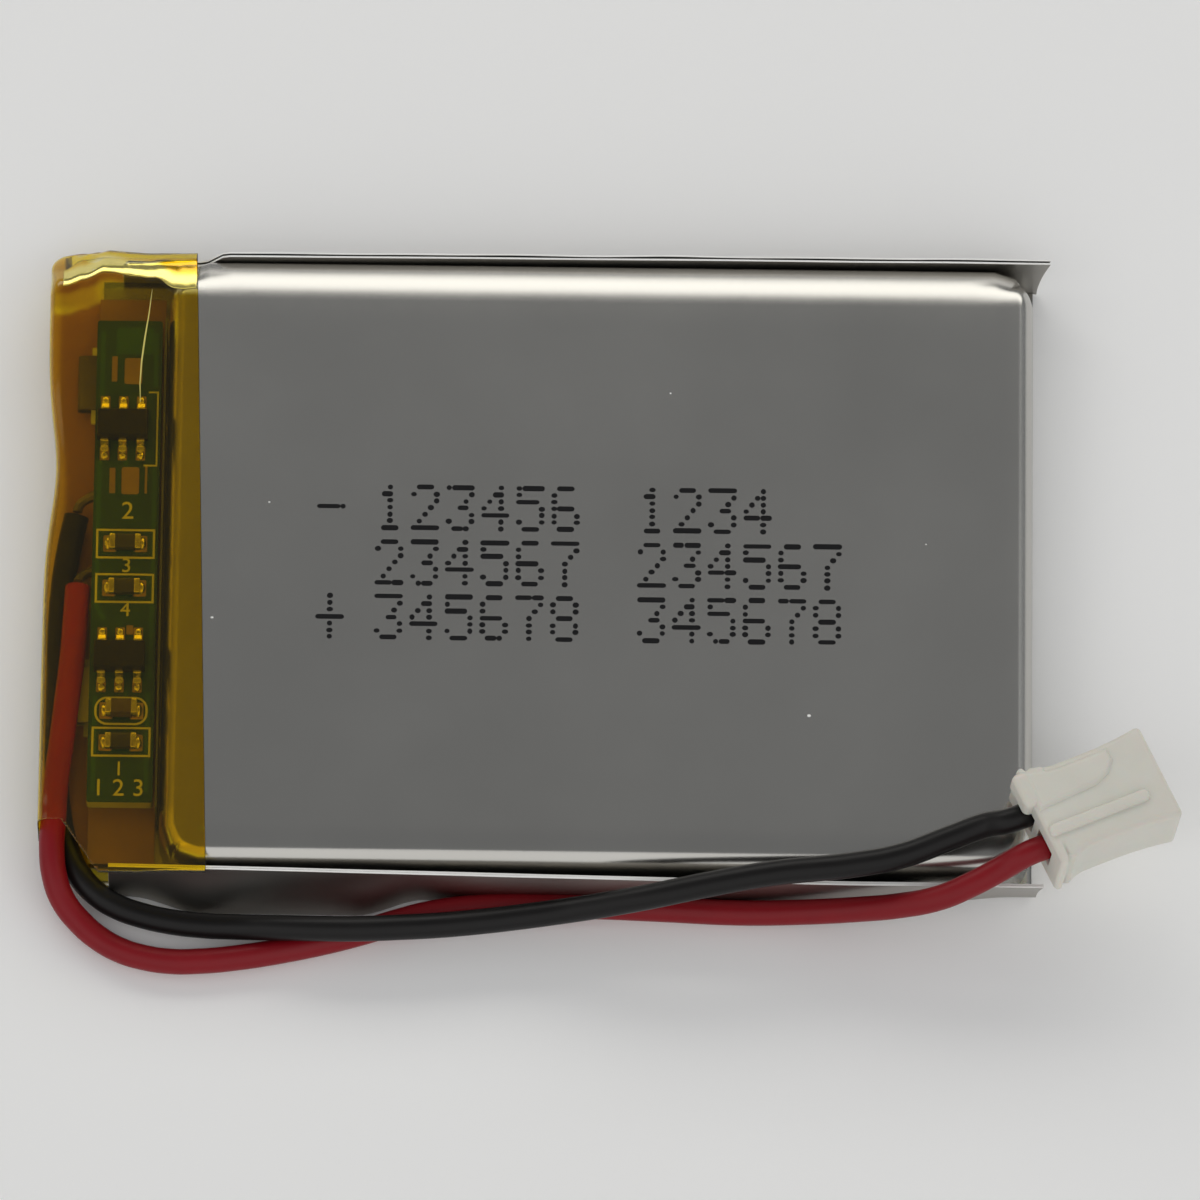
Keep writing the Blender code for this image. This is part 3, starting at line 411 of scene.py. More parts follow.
redRoute = [
    (-0.02392, -0.00090, 0.00188), (-0.02400, -0.00264, 0.00188), (-0.02410, -0.00463, 0.00192),
    (-0.02430, -0.00689, 0.00206), (-0.02454, -0.00941, 0.00214), (-0.02478, -0.01162, 0.00216),
    (-0.02487, -0.01379, 0.00214), (-0.02492, -0.01537, 0.00202), (-0.02474, -0.01676, 0.00168),
    (-0.02432, -0.01779, 0.00124), (-0.02344, -0.01883, 0.00084), (-0.02241, -0.01968, 0.00067),
    (-0.02139, -0.02026, 0.00066), (-0.02037, -0.02060, 0.00066), (-0.01884, -0.02084, 0.00066),
    (-0.01732, -0.02081, 0.00066), (-0.01530, -0.02058, 0.00066), (-0.01328, -0.02021, 0.00066),
    (-0.01126, -0.01975, 0.00066), (-0.00924, -0.01918, 0.00066), (-0.00748, -0.01858, 0.00066),
    (-0.00571, -0.01806, 0.00066), (-0.00318, -0.01768, 0.00066), (0.00012, -0.01756, 0.00066),
    (0.00291, -0.01758, 0.00066), (0.00595, -0.01768, 0.00066), (0.01002, -0.01784, 0.00070),
    (0.01305, -0.01794, 0.00115), (0.01608, -0.01819, 0.00230), (0.01808, -0.01836, 0.00330),
    (0.02008, -0.01830, 0.00430), (0.02163, -0.01780, 0.00488), (0.02330, -0.01700, 0.00536),
]


def plugMatrix():  # the plug is made along +X from its wire end, and this puts it in place
    yaw = Matrix.Rotation(radians(leads["plugYaw"]), 4, "Z")
    dip = Matrix.Rotation(radians(leads["plugDip"]), 4, "Y")
    return Matrix.Translation(Vector(leads["plugRear"]) * mm) @ yaw @ dip


def makeLead(name, route, across, material, node):
    curve = bpy.data.curves.new(name, "CURVE")
    curve.dimensions = "3D"
    curve.bevel_depth = leads["diameter"] / 2 * mm
    curve.bevel_resolution = 6
    curve.resolution_u = 6
    curve.render_resolution_u = 0
    curve.use_fill_caps = True
    inPlug = [plugMatrix() @ Vector((along * mm, across * mm, 0)) for along in leads["inPlug"]]
    points = [Vector(p) for p in route] + inPlug
    spline = curve.splines.new("BEZIER")
    spline.bezier_points.add(len(points) - 1)
    for point, place in zip(spline.bezier_points, points):
        point.co = place
        point.handle_left_type = "AUTO"
        point.handle_right_type = "AUTO"
    lead = addObject(name, curve)
    curve.materials.append(material)
    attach(lead, "root")
    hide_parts(node)
    print(name, "length mm", round(spline.calc_length() / mm, 2))
    return lead


blackLead = makeLead("blackLead", blackRoute, leads["pitch"] / 2, blackVinyl, "black_lead")
redLead = makeLead("redLead", redRoute, -leads["pitch"] / 2, redVinyl, "red_lead")


# pouch pocket

pocket = dict(x=(-19.5, 24.76), y=(-16.6, 16.78), low=0.25, high=3.9, film=0.11, corner=2.2,
              leftReach=(1.0, 1.4), rightReach=(0.95, 1.3), nearReach=(1.0, 1.3), farArc=4.7, farTilt=31.0,
              farEdge=0.34, steps=10, flatSteps=(36, 26), sag=0.014, sagLength=7.0)


def faceHeight(x, y):  # the printed face isn't perfectly flat
    return pocket["high"] - pocket["sag"] * (1 + ripple(x, y, pocket["sagLength"], 3.0)) / 2


def roundedSide(edge, reach, depth, way):  # a quarter of an ellipse, from the edge inwards
    steps = pocket["steps"]
    for k in range(steps):
        angle = radians(90 - 90 * k / steps)
        yield edge + way * reach * (1 - sin(angle)), depth * (1 - cos(angle))


def slopedSide(edge):  # a long gentle slope that turns down sharply at the seal
    tilt, arc, small = radians(pocket["farTilt"]), pocket["farArc"], pocket["farEdge"]
    turn = edge - small * (1 - sin(tilt))
    fall = arc * (1 - cos(tilt))
    for k in range(6):
        angle = radians(90) - (radians(90) - tilt) * k / 6
        yield edge - small * (1 - sin(angle)), fall + small * (cos(tilt) - cos(angle))
    for k in range(14):
        angle = tilt * (1 - k / 14)
        yield turn - arc * (sin(tilt) - sin(angle)), arc * (1 - cos(angle))


def acrossSteps(nearSide, farSide, flat):  # places across the pocket, each with its drop below the face
    near, far = list(nearSide), list(farSide)[::-1]
    start, end = near[-1][0], far[0][0]
    middle = [(start + (end - start) * k / flat, 0.0) for k in range(1, flat)]
    return near + middle + far


def makePocket():
    bm = bmesh.new()
    flatX, flatY = pocket["flatSteps"]
    (x0, x1), (y0, y1) = pocket["x"], pocket["y"]
    columns = acrossSteps(roundedSide(x0, *pocket["leftReach"], 1),
                          roundedSide(x1, *pocket["rightReach"], -1), flatX)
    rows = acrossSteps(roundedSide(y0, *pocket["nearReach"], 1), slopedSide(y1), flatY)
    corner = pocket["corner"]
    for v in unitGrid(bm, len(columns) - 1, len(rows) - 1):
        x, dropX = columns[round((v.co.x + 0.5) * (len(columns) - 1))]
        y, dropY = rows[round((v.co.y + 0.5) * (len(rows) - 1))]
        drop = min(sqrt(dropX ** 2 + dropY ** 2), 3.0)
        inX = max(corner - min(x - x0, x1 - x), 0)
        inY = max(corner - min(y - y0, y1 - y), 0)
        reach = sqrt(inX ** 2 + inY ** 2)
        if reach > 0:
            pull = 1 - max(inX, inY) / reach
            x += inX * pull * (1 if x < (x0 + x1) / 2 else -1)
            y += inY * pull * (1 if y < (y0 + y1) / 2 else -1)
        v.co = Vector((x, y, faceHeight(x, y) - drop)) * mm
    rim = [e for e in bm.edges if e.is_boundary]
    wall = bmesh.ops.extrude_edge_only(bm, edges=rim)
    for v in topVerts(wall):
        v.co.z = pocket["low"] * mm
    bmesh.ops.recalc_face_normals(bm, faces=bm.faces)
    if sum(f.normal.z for f in bm.faces) < 0:
        bmesh.ops.reverse_faces(bm, faces=bm.faces)
    piece = toMesh("pouchPocket", bm, foil, smoothAngle=50)
    thicken(piece, pocket["film"])
    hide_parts("front_film_cup")


makePocket()


# side seals

sideSeal = dict(x=(-22.0, 25.0), low=0.1, high=3.7, thickness=0.11, edge=0.02, innerDrop=0.05,
                wave=0.03, waveLength=6.0, earCurve=1.7, leanCurve=1.2, gapLength=4.0,
                underTape=(-17.9, -16.6), bellyCurve=1.4, cutAway=(18.0, 24.0))
rearSeal = dict(root=16.80, lean=(0.0, 0.14), bow=1.0, ear=0.65, pressed=2.45, gap=0.10,
                belly=0.0, rise=0.0)
frontSeal = dict(root=16.90, lean=(-0.2, 0.33), bow=1.5, ear=0.33, pressed=3.66, gap=0.02,
                 belly=0.9, rise=1.4)


def easeBetween(value, start, end):
    share = clamp((value - start) / (end - start))
    return share * share * (3 - 2 * share)


def bellyAt(x):  # the fold stands out a little where nothing presses on it
    return easeBetween(x, -21.0, -17.2) * (1 - easeBetween(x, -9.5, -6.0))


def makeSideSeal(name, side, seal, node):
    bm = bmesh.new()
    x0, x1 = sideSeal["x"]
    leanStart, leanEnd = seal["lean"]
    for film in (0, 1):
        for v in unitGrid(bm, 120, 10):
            along, up = v.co.x + 0.5, v.co.y + 0.5
            x = x0 + (x1 + seal["ear"] * up ** sideSeal["earCurve"] - x0) * along
            free = easeBetween(x, *sideSeal["underTape"])
            high = seal["pressed"] + (sideSeal["high"] - seal["pressed"]) * free
            high -= sideSeal["innerDrop"] * (1 - film)
            low = sideSeal["low"] + seal["rise"] * easeBetween(x, *sideSeal["cutAway"])
            lean = leanStart + (leanEnd - leanStart) * sin(along * pi / 2) ** sideSeal["leanCurve"]
            y = seal["root"] + lean * up ** seal["bow"]
            y += sideSeal["wave"] * ripple(x, side * 7.0, sideSeal["waveLength"], 1.0) * up
            apart = seal["gap"] * (0.6 + 0.4 * ripple(x, 0, sideSeal["gapLength"], 9.0)) * up ** 2
            y += film * (sideSeal["thickness"] + apart)
            y += seal["belly"] * bellyAt(x) * (1 - up) ** sideSeal["bellyCurve"]
            v.co = Vector((x, side * y, low + (high - low) * up)) * mm
    if side < 0:
        bmesh.ops.reverse_faces(bm, faces=bm.faces)
    # the seal gets the darker foil, painted shade
    piece = toMesh(name, bm, flapFoilPaintedShade, smoothAngle=40)
    # the film's rim takes the pale rim colour, a painted highlight along the seal's top edge
    piece.data.materials.append(rimHighlightAndDust)
    thicken(piece, sideSeal["thickness"]).material_offset_rim = 1
    soft = piece.modifiers.new("softEdge", "BEVEL")
    soft.width = sideSeal["edge"] * mm
    soft.segments = 2
    soft.limit_method = "ANGLE"
    soft.angle_limit = radians(50)
    soft.harden_normals = True
    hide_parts(node)


makeSideSeal("rearSideSeal", 1, rearSeal, "rear_side_seal")
makeSideSeal("frontSideSeal", -1, frontSeal, "front_side_seal")


backFilm = dict(x=(-23.0, 24.8), near=16.95, far=16.80, drawnIn=0.38, drawnFrom=(17.0, 22.0),
                level=0.10, uneven=0.012, unevenLength=6.0, thickness=0.09)


def makeBackFilm():  # the flat back, with a shallow unevenness
    bm = bmesh.new()
    x0, x1 = backFilm["x"]
    for v in unitGrid(bm, 60, 44):
        x = x0 + (v.co.x + 0.5) * (x1 - x0)
        near = backFilm["near"] + frontSeal["belly"] * bellyAt(x)
        near -= backFilm["drawnIn"] * easeBetween(x, *backFilm["drawnFrom"])
        y = -near + (v.co.y + 0.5) * (near + backFilm["far"])
        rise = backFilm["uneven"] * (1 + ripple(x, y, backFilm["unevenLength"], 21.0))
        v.co = Vector((x, y, backFilm["level"] + rise)) * mm
    piece = toMesh("backFilm", bm, foil, smoothAngle=40)
    thicken(piece, backFilm["thickness"], offset=1)
    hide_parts("back_film")


makeBackFilm()
print("pouch made")


# wrap tape

wrap = dict(left=-25.65, side=17.25, top=4.0, thickness=0.06, cupStart=-19.5, lap=1.9, skew=0.55,
            dip=0.2, corner=0.7, pinch=0.5, pinchY=5.0, pinchSpread=3.5, mouthY=-14.35,
            mouthX=(-24.45, -22.5), nearCrinkle=0.07,
            foldLine=((-25.7, 14.9), (-24.9, 15.0), (-24.0, 15.32), (-22.8, 15.8), (-21.2, 15.5),
                      (-20.3, 15.35), (-19.2, 14.6), (-17.5, 14.6)),
            foldRadius=((-25.0, 0.9), (-22.8, 0.9), (-21.2, 1.4), (-20.3, 2.0), (-19.2, 4.0), (-17.5, 4.4)),
            foldTilt=36.0, farFlare=0.017, crinkle=0.04, flat=0.012,
            ridge=((-21.7, 16.5), (-17.9, 16.7)), ridgeHeight=0.06, ridgeWidth=0.14,
            endCorner=1.0, endEase=3.2, narrowBack=0.03, bends=(0.52, 0.60, 0.68, 0.76),
            dipReach=(-0.35, 1.15), flareX=(18.5, 24.5), crinkleY=15.9, crinkleSpread=0.9,
            nearY=-13.0, nearReach=1.5, doubledX=(22.9, 23.5), doubledY=(13.5, 14.1), onTop=(2.0, 3.0))


def alongPoints(points, x):  # the second value of a chain of points, where the first is x
    for (xa, ya), (xb, yb) in zip(points, points[1:]):
        if x <= xb:
            return ya + (yb - ya) * easeBetween(x, xa, xb)
    return points[-1][1]


def intoDip(x):  # how far the tape has come down from the pocket's top towards the board
    return wrap["dip"] * easeBetween(wrap["cupStart"] - x, *wrap["dipReach"])


def tapeSection(t, y):  # a point of the tape's outer side: t runs from 0, on the face, to 1, on the back
    hollow = exp(-((y - wrap["pinchY"]) / wrap["pinchSpread"]) ** 2)
    left = wrap["left"] + wrap["pinch"] * hollow
    edge = wrap["cupStart"] + wrap["lap"] - wrap["skew"] * y / wrap["side"]
    corner, top, dip = wrap["corner"], wrap["top"], wrap["dip"]
    faceEnd, topBend, endWall, lowBend = wrap["bends"]
    if t < faceEnd:
        x = edge + (left + corner - edge) * t / faceEnd
        return x, top - intoDip(x)
    if t < topBend:
        a = radians(90 + 90 * (t - faceEnd) / (topBend - faceEnd))
        return left + corner + corner * cos(a), top - dip - corner + corner * sin(a)
    if t < endWall:
        share = (t - topBend) / (endWall - topBend)
        return left, top - dip - corner - (top - dip - 2 * corner) * share
    if t < lowBend:
        a = radians(180 + 90 * (t - endWall) / (lowBend - endWall))
        return left + corner + corner * cos(a), corner + corner * sin(a)
    share = (t - lowBend) / (1 - lowBend)
    return left + corner + (edge - left - corner) * share, 0.0


def distanceToLine(x, y, start, end):
    run = Vector(end) - Vector(start)
    share = clamp((Vector((x, y)) - Vector(start)).dot(run) / run.length_squared)
    return (Vector((x, y)) - Vector(start) - run * share).length


def tapeRelief(x, y):  # folds and crinkles of the stretch on top, as a drop from the even height
    drop = wrap["flat"] * (1 + ripple(x, y, 1.8, 5.0))
    past = max(0.0, y - alongPoints(wrap["foldLine"], x) - 0.06 * ripple(x, 0, 1.1, 8.0))
    radius, tilt = alongPoints(wrap["foldRadius"], x), radians(wrap["foldTilt"])
    bent = min(past, radius * sin(tilt))
    drop += radius - sqrt(radius ** 2 - bent ** 2) + (past - bent) * tan(tilt)
    fold = exp(-((y - wrap["crinkleY"]) / wrap["crinkleSpread"]) ** 2)
    drop += wrap["crinkle"] * fold * (1 + ripple(x * 1.5 + y * 0.6, y * 0.7, 0.8, 2.0)) / 2
    nearFront = clamp((wrap["nearY"] - y) / wrap["nearReach"])
    drop += wrap["nearCrinkle"] * nearFront * (1 + ripple(x * 0.7, y * 2.0, 1.0, 11.0)) / 2
    away = distanceToLine(x, y, *wrap["ridge"])
    drop -= wrap["ridgeHeight"] * exp(-(away / wrap["ridgeWidth"]) ** 2)
    return max(drop, 0.0)


def tapeRoof(x, y):  # height of the tape's upper side
    return wrap["top"] - intoDip(x) - tapeRelief(x, y)


def makeTape():
    bm = bmesh.new()
    side = wrap["side"]
    flatStart = wrap["left"] + wrap["corner"]
    for v in unitGrid(bm, 150, 200):
        y = v.co.y * 2 * side
        x, z = tapeSection(v.co.x + 0.5, y)
        turned = max(y - side + wrap["endCorner"], 0)
        if y > 0:
            y *= 1 + wrap["farFlare"] * easeBetween(-x, *wrap["flareX"])
        if y < 0:
            y *= 1 - wrap["narrowBack"] * easeBetween(2.8 - z, 0.0, 2.4)
        roof = tapeRoof(max(x, flatStart), y)
        z *= roof / (roof + tapeRelief(max(x, flatStart), y))
        inset = wrap["endCorner"] - sqrt(wrap["endCorner"] ** 2 - turned ** 2)
        x += inset * (1 - easeBetween(x, flatStart, flatStart + wrap["endEase"]))
        v.co = Vector((x, y, z)) * mm
    mouthLeft, mouthRight = wrap["mouthX"]
    slant = Vector((mouthRight - mouthLeft, -side - wrap["mouthY"], 0)).normalized()
    across = Vector((-slant.y, slant.x, 0))
    mouth = Vector((mouthLeft, wrap["mouthY"], 0))
    for way in (Vector((0, 1, 0)), across):
        bmesh.ops.bisect_plane(bm, geom=everythingIn(bm), dist=1e-7, plane_co=mouth * mm, plane_no=way)
    gone = []
    for f in bm.faces:
        middle = f.calc_center_median() / mm
        if middle.y < mouth.y and (middle - mouth).dot(across) < 0:
            gone.append(f)
    bmesh.ops.delete(bm, geom=gone, context="FACES")
    outward = [f for f in bm.faces if f.calc_center_median().z > 3 * mm]
    if sum(f.normal.z for f in outward) < 0:
        bmesh.ops.reverse_faces(bm, faces=bm.faces)
    piece = toMesh("wrapTape", bm, tapeFilm, smoothAngle=60)
    layers = piece.data.attributes.new("layers", "FLOAT", "POINT")
    # paintedGlare marks where the tape is painted paler as a highlight, past the far fold
    paintedGlare = piece.data.attributes.new("paintedGlare", "FLOAT", "POINT")
    for vert, layer, glareShare in zip(piece.data.vertices, layers.data, paintedGlare.data):
        place = vert.co / mm
        fold = alongPoints(wrap["foldLine"], place.x)
        doubled = easeBetween(place.y, *wrap["doubledY"]) * (1 - easeBetween(place.y, fold - 0.3, fold))
        doubled *= easeBetween(-place.x, *wrap["doubledX"]) * easeBetween(place.z, *wrap["onTop"])
        layer.value = max(clamp((1.6 - place.z) / 1.2), 0.9 * doubled)
        # the painted highlight: paler tape from the fold line to about a millimetre past it, where the
        # glare lies
        glareShare.value = 0.95 * easeBetween(place.y, fold - 0.1, fold + 0.2)
        glareShare.value *= easeBetween(-place.y, -fold - 1.5, -fold - 1.0)
    thicken(piece, wrap["thickness"])
    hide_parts("outer_tape")


makeTape()


foldedEnd = dict(inner=((-25.0, 15.05), (-24.4, 15.2), (-24.0, 15.45), (-22.8, 15.92), (-21.2, 15.65),
                        (-20.3, 15.6), (-19.2, 14.9), (-18.16, 14.95)),
                 outer=((-25.0, 16.2), (-24.0, 16.9), (-18.0, 16.9)), clear=0.02, thickness=0.07)


def makeFoldedEnd():  # the end of the rear seal lies folded over, under the tape
    bm = bmesh.new()
    points = foldedEnd["inner"]
    for v in unitGrid(bm, 110, 26):
        x = points[0][0] + (points[-1][0] - points[0][0]) * (v.co.x + 0.5)
        start = alongPoints(points, x) + 0.07 * ripple(x, 0, 0.5, 17.0)
        y = start + (alongPoints(foldedEnd["outer"], x) - start) * (v.co.y + 0.5)
        v.co = Vector((x, y, tapeRoof(x, y) - wrap["thickness"] - foldedEnd["clear"])) * mm
    piece = toMesh("foldedSealEnd", bm, foldFoil, smoothAngle=60)
    thicken(piece, foldedEnd["thickness"])


makeFoldedEnd()


crease = dict(width=0.085, height=0.05, sunk=0.01, steps=40,
              points=((-20.42, 14.9), (-20.55, 13.6), (-20.74, 12.2), (-20.88, 10.9), (-20.94, 9.6),
                      (-20.90, 8.6)))


def makeCrease():  # a thin pinched line of the tape, pale and opaque as a painted highlight along the crease
    bm = bmesh.new()
    sections = []
    for k in range(crease["steps"] + 1):
        share = k / crease["steps"]
        place = share * (len(crease["points"]) - 1)
        index = min(int(place), len(crease["points"]) - 2)
        a, b = Vector(crease["points"][index]), Vector(crease["points"][index + 1])
        spot = a.lerp(b, place - index)
        half = crease["width"] / 2 * sin(pi * (0.04 + 0.92 * share)) ** 0.8
        high = tapeRoof(spot.x, spot.y)
        peak = crease["height"] * half / crease["width"] * 2
        diamond = ((-half, 0.002), (0, peak), (half, 0.002), (0, -crease["sunk"]))
        sections.append([bm.verts.new(Vector((spot.x + dx, spot.y, high + dz)) * mm) for dx, dz in diamond])
    for one, two in zip(sections, sections[1:]):
        joinRings(bm, one, two)
    bm.faces.new(sections[0])
    bm.faces.new(sections[-1])
    bmesh.ops.recalc_face_normals(bm, faces=bm.faces)
    piece = toMesh("tapeCrease", bm, paintedCreaseHighlight, smoothAngle=50)


makeCrease()
print("tape made")


# protection board

board = dict(x=(-23.21, -19.86), y=(-13.0, 13.6), z=(1.85, 2.65), middle=-21.535, mask=0.03,
             copper=0.02, trace=0.007, ink=0.012, line=0.11, corner=0.15, traceWidth=0.22,
             packages=((-21.785, 7.6), (-21.685, -5.2)), leadPitch=0.92, chips=(1.2, -1.25, -8.0, -9.75))
boardTop = board["z"][1]
pads = [(-21.32, 10.79, 0.90, 1.45), (-22.28, 10.90, 0.28, 1.40), (-21.35, 4.70, 0.90, 1.50),
        (-22.27, 4.70, 0.30, 1.40), (-20.55, 4.75, 0.12, 1.50), (-21.20, -3.55, 0.35, 0.5)]


def plate(bm, points, low, height):
    return raiseFaces(bm, [flatPath(bm, points, low)], height)


def strokeSides(points, width, closed):  # both sides of a line of that width along the points
    sides = ([], [])
    count = len(points)
    for k in range(count):
        here = Vector(points[k])
        before = Vector(points[k - 1]) if closed or k else here * 2 - Vector(points[1])
        last = k == count - 1 and not closed
        after = here * 2 - Vector(points[k - 1]) if last else Vector(points[(k + 1) % count])
        into, out = (here - before).normalized(), (after - here).normalized()
        both = into + out
        across = Vector((-both.y, both.x)).normalized()
        reach = width / 2 / max(across.dot(Vector((-into.y, into.x))), 0.5)
        sides[0].append(here + across * reach)
        sides[1].append(here - across * reach)
    return sides


def outline(bm, points, width, low, height, closed=True):  # a raised line along a path
    left, right = [[bm.verts.new(Vector((p.x, p.y, low)) * mm) for p in side]
                   for side in strokeSides(points, width, closed)]
    count = len(points)
    faces = []
    for k in range(count if closed else count - 1):
        n = (k + 1) % count
        faces.append(bm.faces.new((left[k], right[k], right[n], left[n])))
    raiseFaces(bm, faces, height)


def makeBoard():
    x0, x1 = board["x"]
    y0, y1 = board["y"]
    low, high = board["z"]
    mask = board["mask"]
    bm = bmesh.new()
    plate(bm, roundedPoints(x0, x1, y0, y1, board["corner"]), low + mask, high - low - 2 * mask)
    core = toMesh("boardCore", bm, boardCore, smoothAngle=30)
    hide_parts("circuit_board")
    bm = bmesh.new()
    for level in (low, high - mask):
        plate(bm, roundedPoints(x0, x1, y0, y1, board["corner"]), level, mask)
    maskPiece = toMesh("boardMask", bm, solderMask, smoothAngle=30)


def makeTraces():  # copper under the mask shows as raised, paler runs
    bm = bmesh.new()
    runs = [[(-22.9, 13.0), (-22.9, 8.9), (-22.6, 8.4)], [(-20.15, 12.9), (-20.15, 9.9)],
            [(-22.95, 5.8), (-22.95, -2.2), (-22.5, -3.0)], [(-20.1, 5.6), (-20.1, -6.2)],
            [(-21.6, 6.0), (-21.6, 5.4)], [(-22.9, -7.2), (-22.9, -12.4)], [(-20.2, -7.0), (-20.2, -12.4)],
            [(-21.3, -6.9), (-21.3, -7.3)]]
    for run in runs:
        outline(bm, run, board["traceWidth"], boardTop, board["trace"], closed=False)
    plate(bm, roundedPoints(-22.2, -20.3, 11.75, 13.2, 0.1), boardTop, board["trace"])
    traces = toMesh("boardTraces", bm, traceMask)


def makePads():
    bm = bmesh.new()
    places = [(x, y, wide, tall, min(wide, tall) * 0.15) for x, y, wide, tall in pads]
    for x, y in board["packages"]:
        places += [(x + k * board["leadPitch"], y + side * 1.4, 0.48, 0.76, 0.06)
                   for k in (-1, 0, 1) for side in (-1, 1)]
    for y in board["chips"]:
        places += [(board["middle"] + side * 0.78, y, 0.68, 0.90, 0.08) for side in (-1, 1)]
    for x, y, wide, tall, corner in places:
        plate(bm, roundedPoints(x - wide / 2, x + wide / 2, y - tall / 2, y + tall / 2, corner),
              boardTop, board["copper"])
    padPiece = toMesh("boardPads", bm, goldPad)


digitRows = {
    "1": "00100 01100 00100 00100 00100 00100 01110", "2": "01110 10001 00001 00010 00100 01000 11111",
    "3": "11111 00001 00010 00110 00001 10001 01110", "4": "00010 00110 01010 10010 11111 00010 00010",
    "5": "11111 10000 11110 00001 00001 10001 01110", "6": "01110 10000 10000 11110 10001 10001 01110",
    "7": "11111 00001 00010 00100 00100 00100 00100", "8": "01110 10001 10001 01110 10001 10001 01110",
    "-": "00000 00000 00000 11111 00000 00000 00000", "+": "00100 00100 00100 11111 00100 00100 00100",
}


def placeInk(name, body, size, place, thickness):  # a plain digit of the built-in font, as thin ink
    curve = bpy.data.curves.new(name, "FONT")
    curve.body = body
    curve.size = size * mm
    curve.extrude = thickness / 2 * mm
    curve.align_x = "CENTER"
    curve.align_y = "CENTER"
    letter = addObject(name, curve)
    bpy.context.view_layer.update()
    mesh = finalMesh(letter)
    bpy.data.objects.remove(letter)
    mesh.transform(Matrix.Translation(Vector(place) * mm))
    return mesh


def makeSilkscreen():
    bm = bmesh.new()
    width, ink = board["line"], board["ink"]
    for y in (1.2, -1.25, -9.70):
        box = [(-22.97, y - 0.76), (-20.07, y - 0.76), (-20.07, y + 0.76), (-22.97, y + 0.76)]
        outline(bm, box, width, boardTop, ink)
    capsule = roundedPoints(-22.85, -20.25, -8.0 - 0.72, -8.0 + 0.72, 0.6, steps=6)
    outline(bm, capsule, width, boardTop, ink)
    outline(bm, [(-20.5, 9.62), (-20.03, 9.62), (-20.03, 5.55), (-20.7, 5.55)], width * 0.8, boardTop, ink,
            closed=False)
    marks = (("2", -21.45, 3.0, 1.35), ("3", -21.45, -0.02, 1.1), ("4", -21.45, -2.45, 1.1),
             ("1", -21.6, -11.2, 1.1), ("1 2 3", -21.6, -12.25, 1.3))
    for body, x, y, size in marks:
        mesh = placeInk("silkMark", body, size, (x, y, boardTop + ink / 2), ink)
        bm.from_mesh(mesh)
        bpy.data.meshes.remove(mesh)
    bmesh.ops.remove_doubles(bm, verts=bm.verts, dist=1e-7)
    silk = toMesh("boardMarking", bm, silkInk)


makeBoard()
makeTraces()
makePads()
makeSilkscreen()
print("board made")


# packages and chips on the board

package = dict(size=(2.6, 1.45, 0.95), standoff=0.05, bevel=0.10, leadWidth=0.4, leadThickness=0.14,
               leadReach=0.60, parting=0.45, dot=0.13, leadEdge=0.025)
chip = dict(size=(1.6, 0.8), cap=0.3, capWall=0.02, gap=0.03)


def makePackage(name, x, y, node):
    length, width, height = package["size"]
    low = boardTop + package["standoff"]
    parting = low + height * package["parting"]
    bm = bmesh.new()
    addBox(bm, (x - length / 2, y - width / 2, low), (x + length / 2, y + width / 2, low + height))
    rim = [e for e in bm.edges if abs(e.verts[0].co.z - e.verts[1].co.z) < 1e-6]
    bevelEdges(bm, rim, package["bevel"], 3)
    dot = [(x - length / 2 + 0.35 + package["dot"] * cos(radians(30 * k)),
            y - width / 2 + 0.3 + package["dot"] * sin(radians(30 * k))) for k in range(12)]
    plate(bm, dot, low + height, 0.008)
    body = toMesh(name, bm, blackMould, smoothAngle=30)
    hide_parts(node)
    bm = bmesh.new()
    thickness, half = package["leadThickness"], package["leadWidth"] / 2
    path = [(0.0, parting), (0.22, parting), (0.34, boardTop + 0.06),
            (package["leadReach"], boardTop + 0.04)]
    for k in (-1, 0, 1):
        for side in (-1, 1):
            start = None
            for out, z in path:
                centre = x + k * board["leadPitch"]
                edge = y + side * (width / 2 + out)
                ring = [bm.verts.new(Vector((centre + w, edge, z + h)) * mm)
                        for w, h in ((-half, 0), (half, 0), (half, thickness), (-half, thickness))]
                if start:
                    joinRings(bm, start, ring)
                else:
                    bm.faces.new(ring)
                start = ring
            bm.faces.new(start)
    bmesh.ops.recalc_face_normals(bm, faces=bm.faces)
    edges = [e for e in bm.edges if e.calc_face_angle(0) > radians(60)]
    bevelEdges(bm, edges, package["leadEdge"], 2)
    leadPiece = toMesh(name + "Leads", bm, solderTin, smoothAngle=50)


def makeFillets(name, places):  # small domes of solder
    bm = bmesh.new()
    for x, y, wide, tall, height in places:
        made = bmesh.ops.create_uvsphere(bm, u_segments=16, v_segments=10, radius=0.5)
        for v in made["verts"]:
            bulge = 1 + 0.12 * ripple(v.co.x * 4 + x, v.co.y * 4 + y, 1.0, 4.0)
            v.co = Vector(((x + v.co.x * wide * bulge) * mm, (y + v.co.y * tall * bulge) * mm,
                           (boardTop + 0.01 + max(v.co.z, -0.02) * 2 * height * bulge) * mm))
    piece = toMesh(name, bm, solderTin, smoothAngle=60)


def makeChip(name, y, height, material, node):
    length, width = chip["size"]
    middle = board["middle"]
    low = boardTop + chip["gap"]
    bm = bmesh.new()
    cap, wall = chip["cap"], chip["capWall"]
    addBox(bm, (middle - length / 2 + cap * 0.6, y - width / 2 + wall, low + wall),
           (middle + length / 2 - cap * 0.6, y + width / 2 - wall, low + height - wall), 0.03)
    body = toMesh(name, bm, material, smoothAngle=40)
    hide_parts(node)
    bm = bmesh.new()
    for side in (-1, 1):
        x = middle + side * (length / 2 - cap / 2)
        addBox(bm, (x - cap / 2, y - width / 2, low), (x + cap / 2, y + width / 2, low + height), 0.05, 3)
    caps = toMesh(name + "Caps", bm, solderTin, smoothAngle=40)


